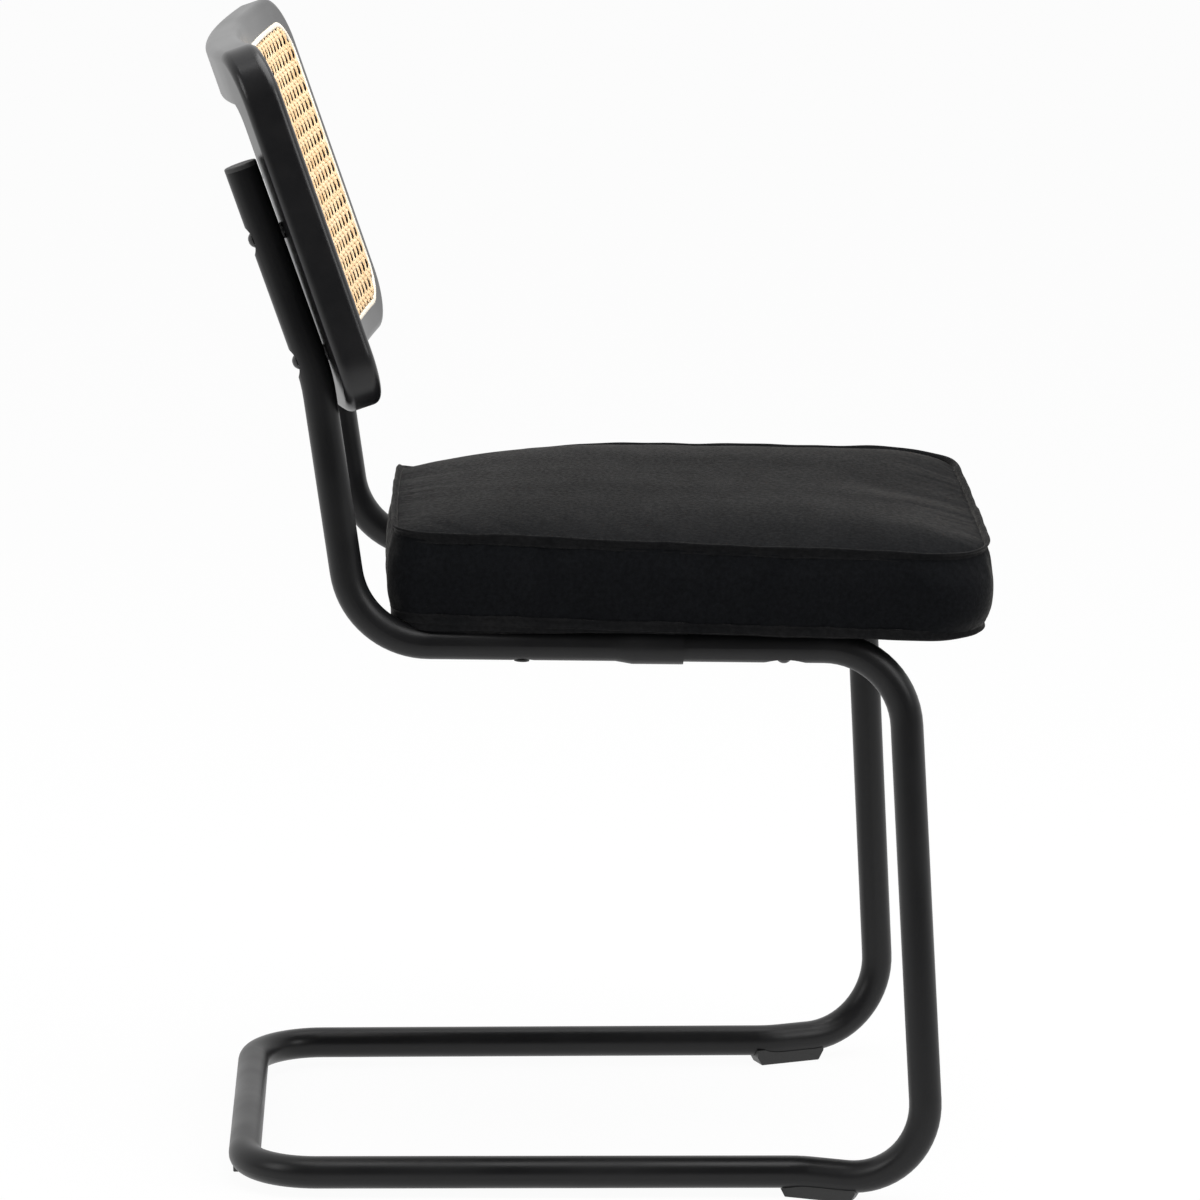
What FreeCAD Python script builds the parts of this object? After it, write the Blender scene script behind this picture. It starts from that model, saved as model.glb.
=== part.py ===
import FreeCAD, Part
import math
import os

from FreeCAD import Placement, Rotation, Vector

# Cantilever dining chair. Millimetres, +Z up, the sitter faces -Y, X runs across the seat.
# The origin lies on the floor under the middle of the whole chair.
# "Right" is the sitter's right, at -X, and "left" is at +X.

# Tubes of the steel frame
TUBE_R = 12.0
WALL = 1.6
GLIDE_H = 6.0
BORE_R = TUBE_R - WALL

# Running room between fitted parts, the least room between faces that only meet, and how far a
# cutter runs past the face that it opens
FIT_GAP = 0.3
TOUCH_GAP = 0.05
CUT_MARGIN = 1.0

# Corners of the tube centreline on the left side (x, y, z), mirrored for the right side
FLOOR_Z = GLIDE_H + TUBE_R
REAR_CORNER = Vector(184.0, 265.0, FLOOR_Z)
TOE_CORNER = Vector(187.0, -147.5, FLOOR_Z)
FOOT_CORNER = Vector(222.0, -240.0, FLOOR_Z)
KNEE_CORNER = Vector(202.0, -216.0, 416.5)
SEAT_CORNER = Vector(205.5, 180.0, 421.5)
BACK_CORNER = Vector(206.0, 208.0, 613.5)
TOP_END = Vector(206.0, 261.5, 764.5)

# Bend radii of the centreline
REAR_BEND = 55.0
TOE_BEND = 50.0
FOOT_BEND = 59.0
KNEE_BEND = 62.0
SEAT_BEND = 61.0
BACK_BEND = 130.0

# Swaged joint in each seat rail: the rear tube swells and takes the front tube
MOUTH_Y = -56.0
SLEEVE_LENGTH = 37.0
FLARE_LENGTH = 12.0
SLEEVE_R = 14.0
SLEEVE_BORE_R = TUBE_R + FIT_GAP
INSERT_LENGTH = 34.0

# Pressed dimples that seat the bolt heads
SEAT_FRONT_BOLT_Y = -129.5
SEAT_REAR_BOLT_Y = 60.5
FRONT_DIMPLE = (3.4, 40.0)
REAR_DIMPLE = (1.7, 25.0)
BACK_DIMPLE = (3.4, 18.0)

# Bolts
BOLT_R = 3.0
BOLT_HOLE_R = 3.5
HEAD_R = 5.6
HEAD_H = 3.4
HEAD_GAP = 0.1
FLAT_HEAD_H = 1.5
HEX_R = 2.0
HEX_DEPTH = 1.8
SHANK_IN_HEAD = 1.0

# Seat: flat in its own frame, tilted about X, its underside over the rails
SEAT_TILT = 1.6
SEAT_PIVOT = Vector(0.0, -200.0, 429.0)
BOARD_T = 12.0
BOARD_HALF_W = 207.0
SEAT_FRONT = -282.0
SEAT_REAR = 150.0
SEAT_HALF_W = 218.0
FRONT_CORNER_R = 56.0
REAR_CORNER_R = 42.0
LEAST_CORNER_R = 5.0
SEAM_TUCK = 18.0
SIDE_BOW = 1.5
TOP_SEAM_Z = 60.0
BOTTOM_SEAM_Z = 1.0
CROWN_H = 12.0
SKIN_T = 2.4
SIDE_BULGE = 4.0
PIPING_R = 3.3
PIPING_GAP = 0.5
DUST_COVER_T = 0.8
DUST_COVER_MARGIN = 10.0

# The side's swell from the bottom seam to the top one: (share of the height, share of the bulge)
SIDE_PROFILE = ((0, 0), (0.07, 0), (0.28, 0.65), (0.5, 1.0), (0.72, 0.65), (0.93, 0), (1, 0))

# The top's rise inwards from the seam: (distance in, share of the crown)
CROWN_PROFILE = ((0.0, 0.0), (18.0, 0.45), (50.0, 0.78), (90.0, 0.94), (130.0, 1.0))

# Backrest: curved in plan, flat along its height, leaning back
BACK_TILT = 19.15
BACK_FOOT = Vector(0.0, 179.2, 589.3)
BACK_HALF_W = 234.0
BACK_H = 273.5
BACK_T = 27.0
BACK_SAG = 27.0
BACK_CORNER_R = 42.0
MEMBER_W = 40.0
OPENING_R = 16.0
EDGE_R = 6.5
OPENING_EDGE_R = 3.0
SPLINE_SIDE = 17.0
SPLINE_END = 20.0
SPLINE_CORNER_R = 32.0
SPLINE_W = 4.4
SPLINE_GAP = 0.2
GROOVE_DEPTH = 6.0
SPLINE_PROUD = 1.6
CANE_T = 1.5
CANE_COLUMNS = 22
CANE_ROWS = 13
CANE_PITCH = 18.0
CANE_HOLE = 10.0
DOWEL_R = 4.0
DOWEL_LENGTH = 32.0
DOWEL_SPOTS = (0.3 * MEMBER_W, 0.7 * MEMBER_W)
BACK_BOLT_HEIGHTS = (48.6, 141.4)
INSERT_R = 4.6
INSERT_DEPTH = 15.0
INSERT_RECESS = 2.0
WASHER_R = 6.0
WASHER_T = 1.0

# Rest of the small parts
CAP_T = 3.4
CAP_PLUG = 15.0
CAP_EDGE_R = 1.2
FRONT_GLIDE_LENGTH = 58.0
FRONT_GLIDE_Y = -162.0
REAR_GLIDE_LENGTH = 50.0
REAR_GLIDE_X = 100.0
GLIDE_W = 18.0
GLIDE_TOP = 12.5
GLIDE_SLANT = 4.0
GLIDE_EDGE_R = 1.0
PEG_R = 3.5
SPACER_R = 8.0
TEE_FLANGE_R = 9.0
TEE_FLANGE_T = 1.4
TEE_BARREL_R = 4.2
TEE_BARREL_LOW = 2.0
TEE_RECESS = 0.1
BOLT_TIP_DEPTH = 2.0

RAIL_DIR = (KNEE_CORNER - SEAT_CORNER).normalize()
UPRIGHT_DIR = (TOP_END - BACK_CORNER).normalize()
BACK_RADIUS = (BACK_HALF_W ** 2 + BACK_SAG ** 2) / (2.0 * BACK_SAG)
SIDES = {"left": 1.0, "right": -1.0}


def save(name, shape):
    """Write one node, after a check that it is made of closed, valid solids."""
    solids = shape.Solids
    assert solids and all(s.isValid() and s.isClosed() and s.Volume > 0 for s in solids), name
    shape.exportStep("parts/" + name + ".step")
    print("%-22s solids %2d volume %10.0f" % (name, len(solids), shape.Volume))


def mirrored(shape, side):
    """The left-hand shape, or its mirror image for the right-hand side."""
    if side > 0:
        return shape
    return shape.mirror(Vector(0, 0, 0), Vector(1, 0, 0))


def cylinder(radius, start, direction, length):
    return Part.makeCylinder(radius, length, start, direction)


def fused(shapes):
    return shapes[0].multiFuse(shapes[1:]).removeSplitter()


# Tubes

def rounded_path(points, radii):
    """Straight runs between the points, with a tangent arc at every inner corner."""
    edges = []
    start = points[0]
    for before, corner, after, radius in zip(points, points[1:], points[2:], radii):
        towards = (before - corner).normalize()
        onwards = (after - corner).normalize()
        half_angle = towards.getAngle(onwards) / 2.0
        reach = radius / math.tan(half_angle)
        bisector = (towards + onwards).normalize()
        middle = corner + bisector * (radius / math.sin(half_angle) - radius)
        enter = corner + towards * reach
        leave = corner + onwards * reach
        edges.append(Part.makeLine(start, enter))
        edges.append(Part.Arc(enter, middle, leave).toShape())
        start = leave
    edges.append(Part.makeLine(start, points[-1]))
    return Part.Wire(edges)


def pipe(points, radii, radius):
    """A round bar of the given radius along the rounded path."""
    path = rounded_path(points, radii)
    ring = Part.Wire(Part.makeCircle(radius, points[0], points[1] - points[0]))
    return path.makePipeShell([ring], True, False)


def dimple(centre, outward, size, extra=0.0):
    """A cross-wise cylinder that presses a shallow saddle into the tube wall."""
    depth, radius = size
    middle = centre + outward * (TUBE_R + radius - depth)
    start = middle - Vector(1, 0, 0) * (2.0 * TUBE_R)
    return cylinder(radius + extra, start, Vector(1, 0, 0), 4.0 * TUBE_R)


def pressed_tube(outer, inner, dimples, holes):
    """A hollow tube whose wall keeps its thickness round each pressed dimple."""
    for centre, outward, size in dimples:
        outer = outer.cut(dimple(centre, outward, size))
        inner = inner.cut(dimple(centre, outward, size, WALL))
    return outer.cut(inner).cut(Part.makeCompound(holes))


def head_seat(size):
    """Distance from the tube's centreline to the flat side of a head that sits in a dimple."""
    depth, radius = size
    rise = radius - math.sqrt(radius ** 2 - HEAD_R ** 2)
    return TUBE_R - depth + rise + HEAD_GAP


def on_rail(y):
    """Point of the left seat rail's centreline at the given depth."""
    return SEAT_CORNER + RAIL_DIR * ((y - SEAT_CORNER.y) / RAIL_DIR.y)


def seat_normal():
    tilt = math.radians(SEAT_TILT)
    return Vector(0, -math.sin(tilt), math.cos(tilt))


def seat_bolt_hole(y):
    """Hole through both walls of the left rail, square to the seat board."""
    middle = on_rail(y)
    return cylinder(BOLT_HOLE_R, middle - seat_normal() * 2 * TUBE_R, seat_normal(), 4 * TUBE_R)


def peg_hole(x, y):
    return cylinder(PEG_R + FIT_GAP, Vector(x, y, 0), Vector(0, 0, 1), FLOOR_Z)


def mirror_point(point):
    return Vector(-point.x, point.y, point.z)


def lower_frame_points():
    """Corners of the one long tube, from the left seat rail round the floor to the right one."""
    start = on_rail(MOUTH_Y) - RAIL_DIR * INSERT_LENGTH
    left = [start, KNEE_CORNER, FOOT_CORNER, TOE_CORNER, REAR_CORNER]
    return left + [mirror_point(p) for p in reversed(left)]


def lower_frame_radii():
    left = [KNEE_BEND, FOOT_BEND, TOE_BEND, REAR_BEND]
    return left + left[::-1]


def toe_direction():
    return (FOOT_CORNER - TOE_CORNER).normalize()


def front_glide_spot():
    """Floor point under the toed-out tube, at the middle of the left front glide."""
    run = toe_direction()
    middle = TOE_CORNER + run * ((FRONT_GLIDE_Y - TOE_CORNER.y) / run.y)
    return Vector(middle.x, middle.y, 0)


def lower_frame():
    points = lower_frame_points()
    radii = lower_frame_radii()
    longer = list(points)
    longer[0] = points[0] - RAIL_DIR
    longer[-1] = mirror_point(longer[0])
    outer = pipe(points, radii, TUBE_R)
    inner = pipe(longer, radii, BORE_R)
    bolt = on_rail(SEAT_FRONT_BOLT_Y)
    glide = front_glide_spot()
    dimples = []
    holes = []
    for side in SIDES.values():
        centre = Vector(side * bolt.x, bolt.y, bolt.z)
        dimples.append((centre, Vector(0, 0, -1), FRONT_DIMPLE))
        holes.append(mirrored(seat_bolt_hole(SEAT_FRONT_BOLT_Y), side))
        holes.append(peg_hole(side * glide.x, glide.y))
        holes.append(peg_hole(side * REAR_GLIDE_X, REAR_CORNER.y))
    return pressed_tube(outer, inner, dimples, holes)


def side_tube():
    """Left rear tube: swaged mouth, seat rail, bend and leaning upright."""
    mouth = on_rail(MOUTH_Y)
    points = [mouth, SEAT_CORNER, BACK_CORNER, TOP_END]
    radii = [SEAT_BEND, BACK_BEND]
    longer = [mouth + RAIL_DIR, SEAT_CORNER, BACK_CORNER, TOP_END + UPRIGHT_DIR]
    back = RAIL_DIR * -1
    flare = mouth + back * SLEEVE_LENGTH
    outer = fused([
        pipe(points, radii, TUBE_R),
        cylinder(SLEEVE_R, mouth, back, SLEEVE_LENGTH),
        Part.makeCone(SLEEVE_R, TUBE_R, FLARE_LENGTH, flare, back),
    ])
    inner = fused([
        pipe(longer, radii, BORE_R),
        cylinder(SLEEVE_BORE_R, mouth + RAIL_DIR * CUT_MARGIN, back, SLEEVE_LENGTH + CUT_MARGIN),
        Part.makeCone(SLEEVE_BORE_R, BORE_R, FLARE_LENGTH, flare, back),
    ])
    dimples = [(on_rail(SEAT_REAR_BOLT_Y), Vector(0, 0, -1), REAR_DIMPLE)]
    holes = [seat_bolt_hole(SEAT_REAR_BOLT_Y)]
    for height in BACK_BOLT_HEIGHTS:
        centre = upright_point(height)
        dimples.append((centre, back_normal(), BACK_DIMPLE))
        holes.append(cylinder(BOLT_HOLE_R, centre - back_normal() * 2 * TUBE_R, back_normal(), 4 * TUBE_R))
    return pressed_tube(outer, inner, dimples, holes)


def end_cap():
    """Plastic plug with a rounded rim on the open top of the left upright."""
    rim = cylinder(TUBE_R, TOP_END, UPRIGHT_DIR, CAP_T)
    top_edges = [e for e in rim.Edges if (e.CenterOfMass - TOP_END).dot(UPRIGHT_DIR) > 0.9 * CAP_T]
    rim = rim.makeFillet(CAP_EDGE_R, [e for e in top_edges if e.Closed])
    plug = cylinder(BORE_R - FIT_GAP, TOP_END - UPRIGHT_DIR * CAP_PLUG, UPRIGHT_DIR, CAP_PLUG + CUT_MARGIN)
    return fused([rim, plug])


def glide(length):
    """Floor glide lying along X: a pad with slanted ends and a peg, before the tube is cut out."""
    half = length / 2.0
    profile = [
        Vector(-half + GLIDE_SLANT, -GLIDE_W / 2, 0),
        Vector(half - GLIDE_SLANT, -GLIDE_W / 2, 0),
        Vector(half, -GLIDE_W / 2, GLIDE_H + GLIDE_EDGE_R),
        Vector(half, -GLIDE_W / 2, GLIDE_TOP),
        Vector(-half, -GLIDE_W / 2, GLIDE_TOP),
        Vector(-half, -GLIDE_W / 2, GLIDE_H + GLIDE_EDGE_R),
    ]
    profile.append(profile[0])
    pad = Part.Face(Part.makePolygon(profile)).extrude(Vector(0, GLIDE_W, 0))
    low = [e for e in pad.Edges if e.BoundBox.ZMax < GLIDE_H + 2 * GLIDE_EDGE_R and e.Length > GLIDE_EDGE_R]
    return pad.makeFillet(GLIDE_EDGE_R, low)


def fitted_glide(length, place, turn, tube):
    """The pad in place, hollowed for the tube, with its peg pushed through the wall."""
    pad = glide(length)
    pad.Placement = Placement(place, Rotation(Vector(0, 0, 1), turn))
    peg = cylinder(PEG_R, place + Vector(0, 0, GLIDE_H / 2), Vector(0, 0, 1), GLIDE_H + WALL)
    return fused([pad.cut(tube), peg])


def front_glide():
    run = toe_direction()
    turn = math.degrees(math.atan2(run.y, run.x))
    tube = pipe(lower_frame_points(), lower_frame_radii(), TUBE_R + FIT_GAP)
    return fitted_glide(FRONT_GLIDE_LENGTH, front_glide_spot(), turn, tube)


def rear_glide():
    """Under the straight cross tube at the rear."""
    start = Vector(REAR_GLIDE_X - REAR_GLIDE_LENGTH, REAR_CORNER.y, FLOOR_Z)
    tube = cylinder(TUBE_R + FIT_GAP, start, Vector(1, 0, 0), 2 * REAR_GLIDE_LENGTH)
    return fitted_glide(REAR_GLIDE_LENGTH, Vector(REAR_GLIDE_X, REAR_CORNER.y, 0), 0, tube)


# Backrest. Its own frame: X across, Y from front to rear, Z up the back from its lower edge.

def back_placement():
    return Placement(BACK_FOOT, Rotation(Vector(1, 0, 0), -BACK_TILT))


def back_normal():
    return back_placement().Rotation.multVec(Vector(0, 1, 0))


def upright_point(height):
    """Point of the left upright's centreline that lies at a height up the backrest."""
    up_back = back_placement().Rotation.multVec(Vector(0, 0, 1))
    foot = (TOP_END - BACK_FOOT).dot(up_back)
    return TOP_END + UPRIGHT_DIR * ((height - foot) / UPRIGHT_DIR.dot(up_back))


def place_back(shape):
    moved = shape.copy()
    moved.Placement = back_placement().multiply(moved.Placement)
    return moved


def rounded_rectangle(half_w, low, high, radius):
    """Closed outline in the XZ plane with round corners."""
    centres = [
        (half_w - radius, high - radius, 0),
        (radius - half_w, high - radius, 90),
        (radius - half_w, low + radius, 180),
        (half_w - radius, low + radius, 270),
    ]
    arcs = []
    for x, z, start in centres:
        spots = []
        for angle in (start, start + 45, start + 90):
            turn = math.radians(angle)
            spots.append(Vector(x + radius * math.cos(turn), 0, z + radius * math.sin(turn)))
        arcs.append(spots)
    edges = []
    for this, following in zip(arcs, arcs[1:] + arcs[:1]):
        edges.append(Part.Arc(*this).toShape())
        edges.append(Part.makeLine(this[2], following[0]))
    return Part.Wire(edges)


def outline_block(inset_side, inset_end, radius):
    """A deep block whose outline is the backrest's, drawn in by the two insets."""
    wire = rounded_rectangle(BACK_HALF_W - inset_side, inset_end, BACK_H - inset_end, radius)
    deep = 3 * BACK_T + BACK_SAG
    face = Part.Face(wire)
    face.translate(Vector(0, -deep, 0))
    return face.extrude(Vector(0, 2 * deep, 0))


def curved_layer(front, rear):
    """Part of an upright cylinder shell, from one distance behind the front face to another."""
    axis = Vector(0, -BACK_RADIUS, -BACK_H)
    up = Vector(0, 0, 1)
    height = 3 * BACK_H
    outer = cylinder(BACK_RADIUS + rear, axis, up, height)
    return outer.cut(cylinder(BACK_RADIUS + front, axis, up, height))


def surface_depth(x, behind=0.0):
    """Local Y, at a distance from the middle, of the curved face that lies behind the front one."""
    return math.sqrt((BACK_RADIUS + behind) ** 2 - x ** 2) - BACK_RADIUS


def long_edges(shape, front, keep):
    """Edges that lie on the front or rear face and pass the test on their middle."""
    found = []
    for edge in shape.Edges:
        spot = edge.valueAt(edge.getParameterByLength(edge.Length / 2))
        depth = math.hypot(spot.x, spot.y + BACK_RADIUS) - BACK_RADIUS
        ends = [math.hypot(v.X, v.Y + BACK_RADIUS) - BACK_RADIUS for v in edge.Vertexes]
        level = 0.0 if front else BACK_T
        if all(abs(d - level) < 0.01 for d in ends + [depth]) and keep(spot):
            found.append(edge)
    return found


def in_opening(spot):
    side = abs(spot.x) < BACK_HALF_W - MEMBER_W + CUT_MARGIN
    return side and MEMBER_W - CUT_MARGIN < spot.z < BACK_H - MEMBER_W + CUT_MARGIN


def whole_back_frame():
    """The curved wooden frame before it is parted into its members."""
    solid = curved_layer(0, BACK_T).common(outline_block(0, 0, BACK_CORNER_R))
    solid = solid.Solids[0]
    outer_edges = long_edges(solid, True, lambda spot: True) + long_edges(solid, False, lambda spot: True)
    solid = solid.makeFillet(EDGE_R, outer_edges)
    solid = solid.cut(outline_block(MEMBER_W, MEMBER_W, OPENING_R)).Solids[0]
    inner_edges = long_edges(solid, False, in_opening)
    solid = solid.makeFillet(OPENING_EDGE_R, inner_edges)
    return solid.cut(spline_ring(0.0, -CUT_MARGIN, GROOVE_DEPTH))


def spline_ring(gap, front, rear):
    """The closed ring between the cane and the wood, let in from the front face."""
    outer = outline_block(SPLINE_SIDE + gap, SPLINE_END + gap, SPLINE_CORNER_R - gap)
    inset = SPLINE_W - gap
    inner = outline_block(SPLINE_SIDE + inset, SPLINE_END + inset, SPLINE_CORNER_R - inset)
    return curved_layer(front, rear).common(outer).cut(inner)


def dowel_lines():
    """Start points and directions of the left-hand dowels, two across each corner joint."""
    joint_x = BACK_HALF_W - MEMBER_W
    depth = surface_depth(joint_x, BACK_T / 2)
    lines = []
    for offset in DOWEL_SPOTS:
        for z in (offset, BACK_H - offset):
            lines.append(Vector(joint_x - DOWEL_LENGTH / 2, depth, z))
    return lines


def dowels():
    solids = []
    for start in dowel_lines():
        left = cylinder(DOWEL_R, start, Vector(1, 0, 0), DOWEL_LENGTH)
        solids.append(left)
        solids.append(mirrored(left, -1.0))
    return Part.makeCompound(solids)


def dowel_holes():
    """Drilled a little wider and deeper than the dowels."""
    solids = []
    for start in dowel_lines():
        early = start - Vector(CUT_MARGIN, 0, 0)
        hole = cylinder(DOWEL_R + FIT_GAP, early, Vector(1, 0, 0), DOWEL_LENGTH + 2 * CUT_MARGIN)
        solids.append(hole)
        solids.append(mirrored(hole, -1.0))
    return Part.makeCompound(solids)


def back_bolt_spots():
    """Where the bolts cross the backrest, in its own frame, as (x, height, tube centre depth)."""
    inverse = back_placement().inverse()
    spots = []
    for height in BACK_BOLT_HEIGHTS:
        local = inverse.multVec(upright_point(height))
        spots.append(local)
    return spots


def washer_low(spot):
    """Depth of a washer's front face. The washer bears on the upright and is let into the stile."""
    return spot.y - TUBE_R - HEAD_GAP - WASHER_T


def insert_holes():
    """From the rear of each stile: blind holes for the threaded inserts and shallow seats for the washers."""
    solids = []
    for spot in back_bolt_spots():
        floor = surface_depth(spot.x, BACK_T) - INSERT_DEPTH - CUT_MARGIN
        hole = cylinder(INSERT_R + FIT_GAP, Vector(spot.x, floor, spot.z), Vector(0, 1, 0), 2 * BACK_T)
        seat_floor = Vector(spot.x, washer_low(spot) - HEAD_GAP, spot.z)
        seat = cylinder(WASHER_R + FIT_GAP, seat_floor, Vector(0, 1, 0), 2 * BACK_T)
        left = fused([hole, seat])
        solids.append(left)
        solids.append(mirrored(left, -1.0))
    return Part.makeCompound(solids)


def back_members():
    """Top rail, bottom rail and the two stiles, parted at the ends of the rails."""
    frame = whole_back_frame().cut(dowel_holes()).cut(insert_holes())
    joint_x = BACK_HALF_W - MEMBER_W
    deep = 4 * BACK_T
    middle = Part.makeBox(2 * joint_x, 2 * deep, BACK_H, Vector(-joint_x, -deep, -BACK_H / 2))
    end_w = 2 * MEMBER_W
    left_end = Part.makeBox(end_w, 2 * deep, 2 * BACK_H, Vector(joint_x, -deep, -BACK_H / 2))
    return {
        "back_bottom_rail": frame.common(middle),
        "back_top_rail": frame.common(middle.translated(Vector(0, 0, BACK_H))),
        "back_stile_left": frame.common(left_end),
        "back_stile_right": frame.common(mirrored(left_end, -1.0)),
    }


def spline():
    return spline_ring(SPLINE_GAP, -SPLINE_PROUD, GROOVE_DEPTH - FIT_GAP)


def octagon(x, z, across):
    """Prism for one opening of the cane, its sides along and across the weave."""
    half = across / 2
    cut = half * math.tan(math.radians(22.5))
    corners = []
    for a, b in ((half, cut), (cut, half), (-cut, half), (-half, cut)):
        corners.append(Vector(x + a, 0, z + b))
    corners += [Vector(2 * x - p.x, 0, 2 * z - p.z) for p in corners]
    corners.append(corners[0])
    face = Part.Face(Part.makePolygon(corners))
    face.translate(Vector(0, -BACK_SAG - BACK_T, 0))
    return face.extrude(Vector(0, 2 * (BACK_SAG + BACK_T), 0))


def cane_panel():
    """The cane sheet: one thin curved layer with its net of openings."""
    inset = SPLINE_W + SPLINE_GAP
    outline = outline_block(SPLINE_SIDE + inset, SPLINE_END + inset, SPLINE_CORNER_R - inset)
    sheet = curved_layer(-CANE_T - FIT_GAP, -FIT_GAP).common(outline)
    openings = []
    for column in range(CANE_COLUMNS):
        x = (column - (CANE_COLUMNS - 1) / 2) * CANE_PITCH
        for row in range(CANE_ROWS):
            z = BACK_H / 2 + (row - (CANE_ROWS - 1) / 2) * CANE_PITCH
            openings.append(octagon(x, z, CANE_HOLE))
    corner_free = [o for o in openings if net_hole_fits(o.BoundBox.Center)]
    return sheet.cut(Part.makeCompound(corner_free))


def net_hole_fits(centre):
    """True unless the opening would break through the round corner of the sheet."""
    edge_x = BACK_HALF_W - SPLINE_SIDE - SPLINE_CORNER_R
    edge_z = BACK_H / 2 - SPLINE_END - SPLINE_CORNER_R
    over_x = abs(centre.x) - edge_x
    over_z = abs(centre.z - BACK_H / 2) - edge_z
    reach = SPLINE_CORNER_R - SPLINE_W - CANE_HOLE
    return over_x < 0 or over_z < 0 or math.hypot(over_x, over_z) < reach


def dome_head(centre, outward):
    """Low domed bolt head with a hexagon socket, its flat side at the centre point."""
    ball_r = (HEAD_R ** 2 + HEAD_H ** 2) / (2 * HEAD_H)
    ball = Part.makeSphere(ball_r, centre + outward * (HEAD_H - ball_r))
    head = ball.common(cylinder(2 * HEAD_R, centre, outward, 2 * HEAD_H))
    return head.cut(hex_socket(centre + outward * HEAD_H, outward))


def hex_socket(top, outward):
    """Hexagonal prism that sinks from the top of a head."""
    across = outward.cross(Vector(1, 0, 0)).normalize()
    start = top - outward * HEX_DEPTH
    corners = []
    for k in range(7):
        turn = math.radians(60 * k)
        corners.append(start + Vector(1, 0, 0) * HEX_R * math.cos(turn) + across * HEX_R * math.sin(turn))
    return Part.Face(Part.makePolygon(corners)).extrude(outward * 2 * HEX_DEPTH)


def back_bolts():
    """Four domed bolts from behind the uprights into the stiles."""
    solids = []
    for spot in back_bolt_spots():
        seat_depth = spot.y + head_seat(BACK_DIMPLE)
        tip = surface_depth(spot.x, BACK_T) - INSERT_DEPTH + CUT_MARGIN
        head_at = Vector(spot.x, seat_depth, spot.z)
        reach = seat_depth + SHANK_IN_HEAD - tip
        shank = cylinder(BOLT_R, Vector(spot.x, tip, spot.z), Vector(0, 1, 0), reach)
        left = fused([dome_head(head_at, Vector(0, 1, 0)), shank])
        solids.append(left)
        solids.append(mirrored(left, -1.0))
    return Part.makeCompound(solids)


def back_washers():
    """Thin washers between each upright and its stile."""
    solids = []
    for spot in back_bolt_spots():
        start = Vector(spot.x, washer_low(spot), spot.z)
        disc = cylinder(WASHER_R, start, Vector(0, 1, 0), WASHER_T)
        left = disc.cut(cylinder(BOLT_HOLE_R, start - Vector(0, 1, 0), Vector(0, 1, 0), 2 * WASHER_R))
        solids.append(left)
        solids.append(mirrored(left, -1.0))
    return Part.makeCompound(solids)


def back_inserts():
    """Threaded brass sleeves sunk in the stiles, clear of the bolts inside them."""
    solids = []
    for spot in back_bolt_spots():
        floor = surface_depth(spot.x, BACK_T) - INSERT_DEPTH
        start = Vector(spot.x, floor, spot.z)
        body = cylinder(INSERT_R, start, Vector(0, 1, 0), INSERT_DEPTH - INSERT_RECESS)
        left = body.cut(cylinder(BOLT_R + FIT_GAP, start - Vector(0, 1, 0), Vector(0, 1, 0), INSERT_DEPTH))
        solids.append(left)
        solids.append(mirrored(left, -1.0))
    return Part.makeCompound(solids)


# Seat. Its own frame: the board's underside is Z = 0, and Y matches the chair's depth.

def seat_placement():
    pivot = Vector(0, SEAT_PIVOT.y, 0)
    spin = Placement(SEAT_PIVOT, Rotation(Vector(1, 0, 0), SEAT_TILT))
    return spin.multiply(Placement(pivot * -1, Rotation()))


def place_seat(shape):
    moved = shape.copy()
    moved.Placement = seat_placement().multiply(moved.Placement)
    return moved


def seat_outline(grow, z, tuck=SEAM_TUCK):
    """Closed outline of the seat, grown or drawn in. The tuck rounds off the front corners."""
    bow = math.radians(SIDE_BOW)
    half_w = SEAT_HALF_W + grow
    front = SEAT_FRONT - grow
    rear = SEAT_REAR + grow
    corners = [
        (1, 1, rear, REAR_CORNER_R),
        (-1, 1, rear, REAR_CORNER_R),
        (-1, -1, front, FRONT_CORNER_R + tuck),
        (1, -1, front, FRONT_CORNER_R + tuck),
    ]
    arcs = []
    for k, (sx, sy, edge_y, base_r) in enumerate(corners):
        radius = max(base_r + grow, LEAST_CORNER_R)
        cx = sx * (half_w - radius * math.cos(bow))
        cy = edge_y - sy * radius * math.cos(bow)
        spots = []
        for angle in (bow, math.pi / 4, math.pi / 2 - bow):
            turn = k * math.pi / 2 + angle
            spots.append(Vector(cx + radius * math.cos(turn), cy + radius * math.sin(turn), z))
        arcs.append(spots)
    edges = []
    for this, following in zip(arcs, arcs[1:] + arcs[:1]):
        edges.append(Part.Arc(*this).toShape())
        a = this[2]
        b = following[0]
        chord = b - a
        outward = Vector(chord.y, -chord.x, 0).normalize()
        middle = (a + b) * 0.5 + outward * (chord.Length / 2 * math.tan(bow / 2))
        edges.append(Part.Arc(a, middle, b).toShape())
    return Part.Wire(edges)


def seat_slab(grow, low, high):
    return Part.Face(seat_outline(grow, low)).extrude(Vector(0, 0, high - low))


def side_form(grow, low, high):
    """Barrel-sided block: the side swells between the two seams, most at the corners."""
    wires = []
    for step, swell in SIDE_PROFILE:
        z = low + step * (high - low)
        wires.append(seat_outline(grow + swell * SIDE_BULGE, z, (1.0 - swell) * SEAM_TUCK))
    return Part.makeLoft(wires, True, False)


def crown_form(grow, base, height):
    """Pillow crown over the top seam, steep at the edge and flat in the middle."""
    wires = [seat_outline(grow - inset, base + rise * height) for inset, rise in CROWN_PROFILE]
    return Part.makeLoft(wires, True, True)


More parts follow.
